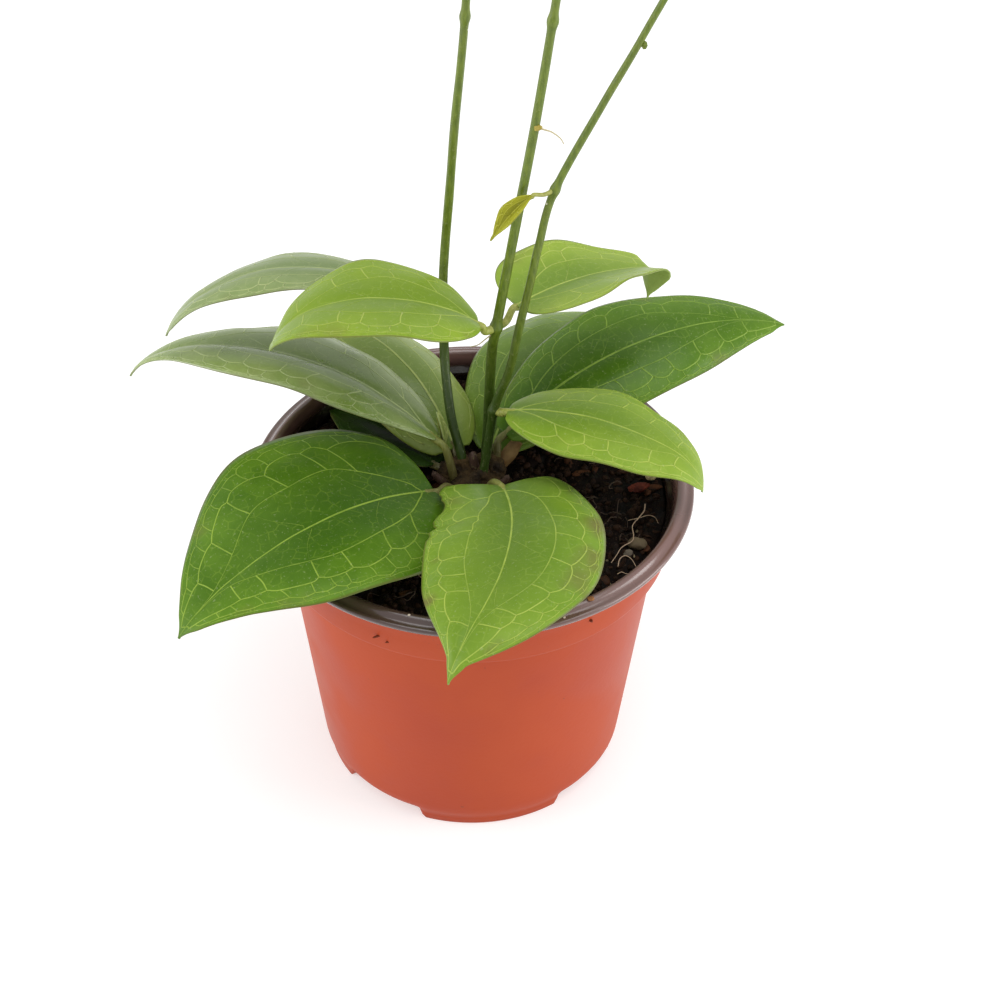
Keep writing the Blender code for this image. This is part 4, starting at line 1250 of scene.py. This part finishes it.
class Strewer:
    """Strews bits over the top of the mix: points on its faces, a rough pebble on each, no two alike."""

    def __init__(self) -> None:
        """Build the tree once, for every sort of bit."""
        graph, given, leave = geometry_tree("strewn_bits", {
            "Density": ('NodeSocketFloat', 1000.0), "Smallest": ('NodeSocketVector', None),
            "Largest": ('NodeSocketVector', None), "Tilt": ('NodeSocketFloat', 0.5),
            "Ragged": ('NodeSocketFloat', 0.0003), "Seed": ('NodeSocketInt', 1), "Reach": ('NodeSocketFloat', 0.05),
            "Lowest": ('NodeSocketFloat', 0.08), "Finish": ('NodeSocketMaterial', None)})
        spot = graph.add('GeometryNodeInputPosition').outputs[0]
        parts = graph.add('ShaderNodeSeparateXYZ', {0: spot})
        flat = graph.add('ShaderNodeCombineXYZ', {0: parts.outputs[0], 1: parts.outputs[1]}).outputs[0]
        away = graph.add('ShaderNodeVectorMath', {0: flat}, operation='LENGTH').outputs["Value"]
        inside = graph.add('FunctionNodeCompare', {0: away, 1: given["Reach"]}, data_type='FLOAT',
                           operation='LESS_THAN').outputs[0]
        above = graph.add('FunctionNodeCompare', {0: parts.outputs[2], 1: given["Lowest"]}, data_type='FLOAT',
                          operation='GREATER_THAN').outputs[0]
        both = graph.add('FunctionNodeBooleanMath', {0: inside, 1: above}, operation='AND').outputs[0]
        spread = graph.add('GeometryNodeDistributePointsOnFaces',
                           {"Mesh": given["Geometry"], "Selection": both, "Density": given["Density"],
                            "Seed": given["Seed"]}, distribute_method='RANDOM').outputs[0]
        size = graph.add('FunctionNodeRandomValue', {0: given["Smallest"], 1: given["Largest"],
                                                     "Seed": given["Seed"]}, data_type='FLOAT_VECTOR').outputs[0]
        back = graph.calc('MULTIPLY', given["Tilt"], -1.0)
        low = graph.add('ShaderNodeCombineXYZ', {0: back, 1: back, 2: 0.0}).outputs[0]
        high = graph.add('ShaderNodeCombineXYZ', {0: given["Tilt"], 1: given["Tilt"], 2: 6.283}).outputs[0]
        turn = graph.add('FunctionNodeRandomValue', {0: low, 1: high, "Seed": 7}, data_type='FLOAT_VECTOR').outputs[0]
        ball = graph.add('GeometryNodeMeshIcoSphere', {"Radius": 1.0, "Subdivisions": 2}).outputs[0]
        placed = graph.add('GeometryNodeInstanceOnPoints',
                           {"Points": spread, "Instance": ball, "Rotation": turn, "Scale": size}).outputs[0]
        shade = graph.add('FunctionNodeRandomValue', {2: 0.0, 3: 1.0, "Seed": 3}, data_type='FLOAT').outputs[1]
        marked = graph.add('GeometryNodeStoreNamedAttribute', {"Geometry": placed, "Name": "shade", "Value": shade},
                           data_type='FLOAT', domain='INSTANCE').outputs[0]
        real = graph.add('GeometryNodeRealizeInstances', {"Geometry": marked}).outputs[0]
        rough = graph.add('ShaderNodeTexNoise', {"Vector": spot, "Scale": 620.0, "Detail": 2.0}).outputs["Color"]
        rough = graph.add('ShaderNodeVectorMath', {0: rough, 1: (0.5, 0.5, 0.5)}, operation='SUBTRACT').outputs[0]
        rough = graph.add('ShaderNodeVectorMath', {0: rough, "Scale": given["Ragged"]}, operation='SCALE').outputs[0]
        moved = graph.add('GeometryNodeSetPosition', {"Geometry": real, "Offset": rough}).outputs[0]
        soft = graph.add('GeometryNodeSetShadeSmooth', {"Geometry": moved}).outputs[0]
        graph.wire(leave, graph.add('GeometryNodeSetMaterial', {"Geometry": soft, "Material": given["Finish"]}
                                    ).outputs[0])
        self.tree = graph.tree

    def strew(self, ground: bpy.types.Object, grit: Grit) -> bpy.types.Object:
        """Strew one sort of bit.

        Args:
            ground: The mix that the bits lie on.
            grit: The sort of bit.

        Returns:
            All its bits as one piece.
        """
        values = {"Density": grit.density, "Smallest": Vector(grit.smallest) * MM,
                  "Largest": Vector(grit.largest) * MM, "Tilt": math.radians(grit.tilt),
                  "Ragged": grit.ragged * MM, "Seed": grit.seed, "Reach": 0.0508, "Lowest": 0.0832,
                  "Finish": grit.finish.make(grit.name)}
        return settle(grown(ground, self.tree, grit.name, values, keep_host=True), slot="soil")


@dataclass
class Soil:
    """The potting mix: a lumpy top in the pot's mouth, a plain body below, and loose bits on top."""

    edge: float = 52.6
    rings: int = 76
    steps: int = 190
    crown: tuple[float, float] = (-0.3, 7.0)
    fibres: int = 46
    grits: tuple[Grit, ...] = (
        Grit("damp_crumbs", EarthFinish((15, 9, 6), (48, 30, 20), 900.0, 0.72, 0.0004), 225000.0,
             (0.45, 0.45, 0.35), (1.5, 1.4, 1.0), 60.0, 0.9, 4),
        Grit("bark_chips", EarthFinish((34, 20, 13), (82, 50, 32), 700.0, 0.7, 0.0005), 11000.0,
             (1.2, 0.7, 0.3), (3.2, 1.6, 0.75), 24.0, 1.1, 9),
        Grit("pale_grit", EarthFinish((74, 64, 50), (140, 126, 100), 800.0, 0.8, 0.0004), 2600.0,
             (0.35, 0.35, 0.3), (0.95, 0.8, 0.6), 60.0, 0.5, 15))

    def height(self, x: float, y: float) -> float:
        """Height of the mix at a place, in millimetres."""
        away = math.hypot(x - self.crown[0], y - self.crown[1])
        ease = min(1.0, max(0.0, (away - 12.0) / 10.0))
        lumps = math.sin(0.31 * x + 1.3) * math.cos(0.27 * y - 0.4) + 0.5 * math.sin(0.55 * x - 0.47 * y)
        fine = noise.noise(Vector((x * 0.22, y * 0.22, 1.0))) * 1.3 + noise.noise(Vector((x * 0.6, y * 0.6, 5.0))) * 0.7
        return SOIL_TOP + 0.9 * ease * lumps + fine * (0.4 + 0.6 * ease)

    def fibre_lines(self) -> list[tuple[list[Vector], list[float]]]:
        """Thin brown fibres that lie on the mix, each a short wandering line."""
        dice = random.Random(23)
        lines = []
        for _ in range(self.fibres):
            away, around = 15.0 + 33.0 * math.sqrt(dice.random()), dice.uniform(0.0, 2 * math.pi)
            x, y = away * math.cos(around), away * math.sin(around)
            heading, bend = dice.uniform(0.0, 2 * math.pi), dice.uniform(-0.35, 0.35)
            thick = dice.uniform(0.1, 0.2)
            path = []
            for k in range(9):
                path.append(Vector((x, y, self.height(x, y) + 1.0 + 0.5 * math.sin(k * 0.9 + around))))
                heading += bend + dice.uniform(-0.25, 0.25)
                reach = dice.uniform(0.6, 1.1)
                x, y = x + reach * math.cos(heading), y + reach * math.sin(heading)
                if math.hypot(x, y) > 50.5:
                    break
            if len(path) > 3:
                lines.append(rounded_ends(path, [thick] * len(path)))
        return lines

    def build(self, tubes: TubeMaker, strewer: Strewer) -> bpy.types.Object:
        """Make the mix and its loose bits.

        Args:
            tubes: Makes the fibres.
            strewer: Makes the crumbs, chips and grit.

        Returns:
            The mix, which stands for its solid.
        """
        finish = EarthFinish((7, 4, 3), (26, 15, 10)).make("potting_mix")
        rows = [(self.edge * (k / self.rings) ** 0.9, None) for k in range(self.rings + 1)]
        rows += [(self.edge, 78.2), (50.0, 77.0), (41.0, 7.0), (38.4, 4.0), (0.0, 4.0)]
        points, numbers = [], []
        for r, z in rows:
            if r < 1e-6:
                numbers.append([len(points)] * self.steps)
                points.append((0.0, 0.0, z if z is not None else self.height(0.0, 0.0)))
                continue
            numbers.append(list(range(len(points), len(points) + self.steps)))
            for k in range(self.steps):
                a = 2 * math.pi * k / self.steps
                x, y = r * math.cos(a), r * math.sin(a)
                points.append((x, y, z if z is not None else self.height(x, y)))
        faces = []
        for one, two in zip(numbers, numbers[1:]):
            for k in range(self.steps):
                n = (k + 1) % self.steps
                faces.append(list(dict.fromkeys([one[k], one[n], two[n], two[k]])))
        item = mesh_piece("potting_soil", np.array(points), faces, finish)
        shape = bmesh.new()
        shape.from_mesh(item.data)
        bmesh.ops.recalc_face_normals(shape, faces=shape.faces)
        shape.to_mesh(item.data)
        shape.free()
        for grit in self.grits:
            strewer.strew(item, grit)
        brown = StemFinish((78, 56, 38), (104, 78, 54), (50, 34, 24), (60, 42, 30), 0.5, 0.7).make("brown_fibre")
        settle(tubes.sweep("peat_fibres", self.fibre_lines(), brown, 6), slot="soil")
        return settle(item, "soil")


@dataclass(frozen=True)
class Bit:
    """One loose bit that stands out by itself."""

    name: str
    centre: Point
    size: Point                  # half widths in millimetres
    turn: float                  # degrees about the vertical
    finish: EarthFinish
    ragged: float = 0.32
    slot: str = "soil"

    def build(self) -> bpy.types.Object:
        """Make the bit as a small rough pebble or chip."""
        shape = bmesh.new()
        bmesh.ops.create_icosphere(shape, subdivisions=4, radius=1.0)
        shift = Vector(self.centre)
        turn = Matrix.Rotation(math.radians(self.turn), 3, 'Z')
        for corner in shape.verts:
            place = corner.co.copy()
            rough = noise.noise(place * 1.3 + shift) + 0.5 * noise.noise(place * 3.1 + shift)
            place = place * (1.0 + self.ragged * rough)
            corner.co = (turn @ Vector([place[k] * self.size[k] for k in range(3)]) + shift) * MM
        mesh = bpy.data.meshes.new(self.name)
        shape.to_mesh(mesh)
        shape.free()
        mesh.polygons.foreach_set("use_smooth", [True] * len(mesh.polygons))
        item = bpy.data.objects.new(self.name, mesh)
        bpy.context.scene.collection.objects.link(item)
        mesh.materials.append(self.finish.make(self.name + "_skin"))
        return settle(item, slot=self.slot)


@dataclass(frozen=True)
class Threads:
    """Fine lines of one finish, such as fresh roots, drawn-out buds or dried sap."""

    name: str
    routes: tuple[tuple[tuple[Point, ...], float, float], ...]     # points, first radius, last radius
    finish: StemFinish
    slot: str = "soil"
    sides: int = 8

    def build(self, tubes: TubeMaker) -> bpy.types.Object:
        """Make all the lines as one piece."""
        lines = []
        for points, thick, thin in self.routes:
            path = smooth_path(list(points), 6 * len(points))
            radii = [thick + (thin - thick) * k / (len(path) - 1) for k in range(len(path))]
            lines.append(rounded_ends(path, radii))
        return settle(tubes.sweep(self.name, lines, self.finish.make(self.name + "_skin"), self.sides),
                      slot=self.slot)


BITS = (
    Bit("red_bark", (45.4, 3.0, 87.9), (3.0, 1.7, 1.0), 24.0, EarthFinish((62, 22, 15), (116, 52, 36), 500.0, 0.6)),
    Bit("perlite_grain", (49.0, 7.6, 88.2), (1.5, 1.2, 1.0), 10.0, EarthFinish((168, 152, 112), (206, 190, 148))),
    Bit("smooth_pebble", (44.1, -20.0, 88.0), (2.5, 1.9, 1.5), -16.0,
        EarthFinish((70, 56, 46), (132, 118, 90), 220.0, 0.6, 0.0003), 0.2),
    Bit("grey_stone", (41.6, -23.8, 87.9), (1.3, 1.1, 0.9), 40.0, EarthFinish((66, 58, 50), (122, 112, 100))),
    Bit("rim_crumb", (31.0, -47.8, 94.1), (0.9, 0.7, 0.5), 20.0, EarthFinish((128, 82, 50), (190, 138, 92)),
        slot="pot"),
    Bit("lip_grain_left", (-14.9, -54.6, 93.95), (0.32, 0.28, 0.28), 20.0,
        EarthFinish((196, 178, 160), (226, 214, 198)), slot="pot"),
    Bit("lip_grain_right", (24.2, -53.4, 92.75), (0.34, 0.28, 0.3), 20.0,
        EarthFinish((176, 156, 136), (216, 200, 182)), slot="pot"),
    Bit("band_speck_left", (-23.2, -49.7, 81.6), (1.7, 0.3, 0.3), 25.0, EarthFinish((104, 46, 30), (140, 74, 52)),
        slot="pot"),
    Bit("band_speck_low", (-20.6, -50.5, 80.4), (0.9, 0.25, 0.25), 22.0, EarthFinish((104, 46, 30), (140, 74, 52)),
        slot="pot"),
    Bit("band_speck_mid", (-16.3, -53.6, 88.8), (0.6, 0.4, 0.3), 17.0, EarthFinish((104, 46, 30), (140, 74, 52)),
        slot="pot"),
    Bit("band_speck_right", (31.5, -45.4, 84.0), (0.5, 0.4, 0.4), -35.0, EarthFinish((104, 46, 30), (140, 74, 52)),
        slot="pot"),
    Bit("wall_speck", (28.6, -40.6, 66.4), (0.4, 0.35, 0.35), -35.0, EarthFinish((104, 44, 26), (128, 62, 40)),
        slot="pot"),
    Bit("pink_grain", (-47.0, 20.0, 87.7), (1.1, 0.8, 0.7), 15.0, EarthFinish((120, 78, 70), (164, 118, 106))),
    Bit("sap_bead_low", (-2.0, 20.0, 217.7), (0.34, 0.3, 0.34), 0.0, EarthFinish((206, 206, 190), (228, 228, 214)),
        slot="vine_left"),
    Bit("sap_bead_middle", (18.2, 4.3, 178.6), (0.42, 0.34, 0.3), 0.0, EarthFinish((206, 206, 176), (228, 228, 204)),
        slot="vine_right"),
    Bit("sap_bead_high", (17.9, 5.0, 226.9), (0.34, 0.3, 0.34), 0.0, EarthFinish((206, 206, 190), (228, 228, 214)),
        slot="vine_middle"),
    Bit("dry_scale", (15.4, 4.0, 200.3), (1.0, 0.6, 0.7), 10.0, EarthFinish((150, 134, 60), (186, 170, 92)),
        slot="vine_middle"),
    Bit("flower_bud", (39.9, 6.8, 221.6), (0.75, 0.7, 1.0), 0.0, EarthFinish((92, 108, 44), (136, 146, 74)),
        slot="vine_right"),
)

THREADS = (
    Threads("fresh_roots", (
        (((46.8, -4.4, 88.4), (46.4, -7.6, 88.8), (44.9, -10.6, 89.0), (43.0, -14.2, 89.2), (43.1, -18.4, 89.6),
          (42.6, -20.6, 89.4), (39.9, -22.6, 89.0), (38.4, -25.2, 88.4), (37.0, -27.6, 88.0)), 0.17, 0.09),
        (((42.0, -11.0, 88.2), (44.9, -10.6, 88.8), (47.4, -9.6, 88.9), (49.2, -10.2, 88.7), (50.0, -12.0, 88.2)),
         0.11, 0.07),
        (((38.7, -29.1, 88.0), (39.2, -27.0, 88.7), (40.6, -26.0, 89.1), (42.2, -27.2, 89.1), (43.4, -29.6, 88.6)),
         0.14, 0.09),
        (((38.4, -32.2, 88.2), (39.6, -31.8, 88.6), (40.6, -32.4, 88.6), (41.6, -32.0, 88.3)), 0.12, 0.08),
        (((-20.0, -30.5, 88.2), (-17.4, -33.0, 88.7), (-14.0, -33.6, 88.6), (-11.4, -36.4, 88.2)), 0.12, 0.08)),
        StemFinish((186, 158, 132), (212, 190, 168), (140, 106, 80), (176, 148, 122), 0.3, 0.5)),
    Threads("dried_tendril", (
        (((15.6, 4.2, 200.2), (17.2, 4.3, 199.6), (18.8, 4.5, 198.9), (20.8, 4.5, 197.3), (21.8, 4.5, 195.6)),
         0.24, 0.12),
        (((4.9, 3.7, 138.7), (3.1, 2.3, 138.0), (1.3, 2.0, 136.5), (-0.8, 2.0, 135.8)), 0.2, 0.12)),
        StemFinish((176, 164, 120), (196, 184, 146), (140, 116, 84), (180, 166, 130), 0.3, 0.6),
        slot="vine_middle"),
    Threads("cut_stubs", (
        (((0.9, 6.9, 88.0), (0.4, 6.3, 92.4), (-0.2, 6.0, 96.6)), 1.5, 1.15),
        (((-6.9, 3.8, 87.0), (-9.6, 3.0, 90.6), (-10.6, 2.6, 92.4)), 1.2, 0.8),
        (((6.2, 3.6, 87.4), (8.6, 2.8, 89.6), (9.6, 2.6, 91.8)), 1.1, 0.7)),
        StemFinish((74, 50, 36), (104, 72, 50), (44, 32, 22), (66, 44, 32), 0.8, 0.65), slot="woody_crown",
        sides=14),
)


@dataclass
class DryBract:
    """A papery old scale that stands on the crown behind the right-hand stems."""

    inner: tuple[Point, ...] = ((5.2, 9.2, 87.4), (6.0, 10.4, 90.2), (8.2, 12.4, 93.0), (10.6, 14.0, 95.2))
    outer: tuple[Point, ...] = ((7.6, 9.6, 86.8), (9.8, 11.0, 88.4), (12.0, 12.8, 90.4), (13.6, 14.4, 93.4))
    bulge: float = 1.1
    thickness: float = 0.3
    counts: tuple[int, int] = (26, 14)

    def build(self) -> bpy.types.Object:
        """Make the scale as a thin curled shell."""
        long_way, across = self.counts
        left, right = smooth_path(list(self.inner), long_way), smooth_path(list(self.outer), long_way)
        points = []
        for k in range(long_way):
            for j in range(across):
                share = j / (across - 1)
                place = left[k].lerp(right[k], share)
                lift = self.bulge * math.sin(math.pi * share) + 0.5 * noise.noise(place * 0.45)
                points.append(place + Vector((0.25, -0.75, 0.6)) * lift)
        faces = [(k * across + j, k * across + j + 1, (k + 1) * across + j + 1, (k + 1) * across + j)
                 for k in range(long_way - 1) for j in range(across - 1)]
        finish = EarthFinish((104, 78, 46), (158, 132, 88), 300.0, 0.6, 0.0004).make("papery_bract")
        item = mesh_piece("dry_bract", np.array([tuple(p) for p in points]), faces, finish)
        shape = bmesh.new()
        shape.from_mesh(item.data)
        bmesh.ops.solidify(shape, geom=shape.faces[:], thickness=self.thickness * MM)
        bmesh.ops.recalc_face_normals(shape, faces=shape.faces)
        shape.to_mesh(item.data)
        shape.free()
        return settle(item, slot="woody_crown")


# ---------------------------------------------------------------- crown
@dataclass
class Crown:
    """Old knobbly wood that the stems and petioles spring from."""

    voxel: float = 0.32
    rough: float = 0.8
    lumps: tuple[tuple[float, ...], ...] = (
        (-0.3, 7.0, 86.8, 7.4, 6.6, 5.0), (-5.2, 7.6, 88.0, 4.6, 4.0, 4.6), (5.2, 8.8, 88.0, 3.8, 4.0, 4.8),
        (-1.6, 2.0, 87.0, 5.2, 3.4, 4.2), (3.0, 12.0, 87.0, 4.2, 3.4, 4.0), (-4.2, 11.0, 87.0, 3.2, 3.2, 3.8),
        (-2.6, 7.6, 91.2, 2.2, 2.0, 2.6), (2.4, 4.2, 90.4, 2.1, 1.9, 2.6), (3.6, 8.8, 91.4, 2.1, 2.0, 2.4),
        (-4.2, 1.2, 88.8, 2.0, 1.8, 1.7), (-7.4, 5.4, 88.6, 1.8, 1.7, 1.7), (0.8, 3.2, 91.0, 1.5, 1.4, 1.5),
        (-0.4, 9.6, 91.2, 1.6, 1.5, 1.4))

    def build(self) -> bpy.types.Object:
        """Fuse the lumps, roughen them and let them stand for the solid."""
        shape = bmesh.new()
        for x, y, z, wide, deep, high in self.lumps:
            place = Matrix.Translation(Vector((x, y, z)) * MM) @ Matrix.Diagonal((wide * MM, deep * MM, high * MM, 1.0))
            bmesh.ops.create_icosphere(shape, subdivisions=4, radius=1.0, matrix=place)
        mesh = bpy.data.meshes.new("old_crown")
        shape.to_mesh(mesh)
        shape.free()
        item = bpy.data.objects.new("old_crown", mesh)
        bpy.context.scene.collection.objects.link(item)
        item.data.materials.append(EarthFinish((30, 22, 15), (88, 70, 44), 420.0, 0.75, 0.0009).make("old_wood"))
        remesh = item.modifiers.new("remesh", 'REMESH')
        remesh.mode = 'VOXEL'
        remesh.voxel_size = self.voxel * MM
        soft = item.modifiers.new("soft", 'SMOOTH')
        soft.iterations = 8
        graph = bpy.context.evaluated_depsgraph_get()
        mesh = bpy.data.meshes.new_from_object(item.evaluated_get(graph), depsgraph=graph)
        item.modifiers.clear()
        item.data = mesh
        for corner in mesh.vertices:
            place = corner.co / MM
            bumps = noise.noise(place * 0.5) + 0.5 * noise.noise(place * 1.3 + Vector((5, 1, 2)))
            ridge = 1.0 - abs(noise.noise(Vector((place.x * 1.1, place.y * 1.1, place.z * 0.4))) * 2.0)
            corner.co = (place + corner.normal * (bumps * self.rough + 0.25 * ridge)) * MM
        mesh.polygons.foreach_set("use_smooth", [True] * len(mesh.polygons))
        mesh.update()
        return settle(item, "woody_crown")


# ---------------------------------------------------------------- studio
@dataclass
class Studio:
    """Pale floor, soft light and the camera."""

    side_energy: float = 2.4

    def build(self) -> None:
        """Set up the floor, the lights and the camera."""
        scene = bpy.context.scene
        scene.view_settings.view_transform = 'Standard'
        material, _, shader = new_material("pale_floor")
        shader.inputs["Base Color"].default_value = (0.62, 0.62, 0.62, 1.0)
        shader.inputs["Roughness"].default_value = 0.9
        shader.inputs["Emission Color"].default_value = (1.0, 1.0, 1.0, 1.0)
        shader.inputs["Emission Strength"].default_value = 0.48
        bpy.ops.mesh.primitive_plane_add(size=8.0, location=(0.0, 0.0, 0.0))
        floor = bpy.context.object
        floor.name = "floor"
        floor.data.materials.append(material)
        world = bpy.data.worlds.new("studio")
        world.use_nodes = True
        world.node_tree.nodes["Background"].inputs["Color"].default_value = (1.0, 1.0, 1.0, 1.0)
        world.node_tree.nodes["Background"].inputs["Strength"].default_value = 0.70
        scene.world = world
        lamp = bpy.data.lights.new("overhead", 'AREA')
        lamp.energy, lamp.shape, lamp.size = 5.2, 'SQUARE', 0.9
        light = bpy.data.objects.new("overhead", lamp)
        light.location = (0.15, -0.15, 1.1)
        light.rotation_euler = (Vector((0.0, 0.0, 0.12)) - light.location).to_track_quat('-Z', 'Y').to_euler()
        scene.collection.objects.link(light)
        for side in (-1.0, 1.0):
            lamp = bpy.data.lights.new("side_box", 'AREA')
            lamp.energy, lamp.shape, lamp.size = self.side_energy, 'SQUARE', 0.45
            light = bpy.data.objects.new("side_box", lamp)
            light.location = (0.7 * side, -0.12, 0.32)
            light.rotation_euler = (Vector((0.0, 0.0, 0.07)) - light.location).to_track_quat('-Z', 'Y').to_euler()
            scene.collection.objects.link(light)
        eye = bpy.data.cameras.new("camera")
        eye.lens, eye.sensor_width, eye.clip_start = 79.97, 36.0, 0.01
        camera = bpy.data.objects.new("camera", eye)
        turn = Matrix.Rotation(math.radians(48.96), 4, 'X') @ Matrix.Rotation(math.radians(0.81), 4, 'Z')
        camera.matrix_world = Matrix.Translation((0.00756, -0.4569, 0.48298)) @ turn
        scene.collection.objects.link(camera)
        scene.camera = camera


def main() -> None:
    """Build the plant in order and report each piece."""
    logging.basicConfig(level=logging.INFO, format="%(name)s %(message)s")
    Studio().build()
    build_mottle_group()
    build_reticulum_group()
    tubes = TubeMaker()
    Pot().build()
    Soil().build(tubes, Strewer())
    for bit in BITS:
        bit.build()
    Crown().build()
    DryBract().build()
    # the last colour is painted shade: the vines darken towards their feet, under the leaves
    bark = StemFinish((82, 102, 16), (106, 124, 32), (98, 90, 40), (32, 56, 9)).make("green_stem")
    vines = {vine.name: vine for vine in VINES}
    for vine in VINES:
        vine.build(tubes, bark)
    stalks = StemFinish((134, 146, 52), (162, 170, 84), (128, 100, 54), (72, 60, 34), 0.3, 0.45, 90.0, 112.0
                        ).make("petiole_skin")
    for threads in THREADS:
        threads.build(tubes)
    for leaf in LEAVES:
        leaf.build(tubes, vines, stalks)


if __name__ == "__main__":
    main()
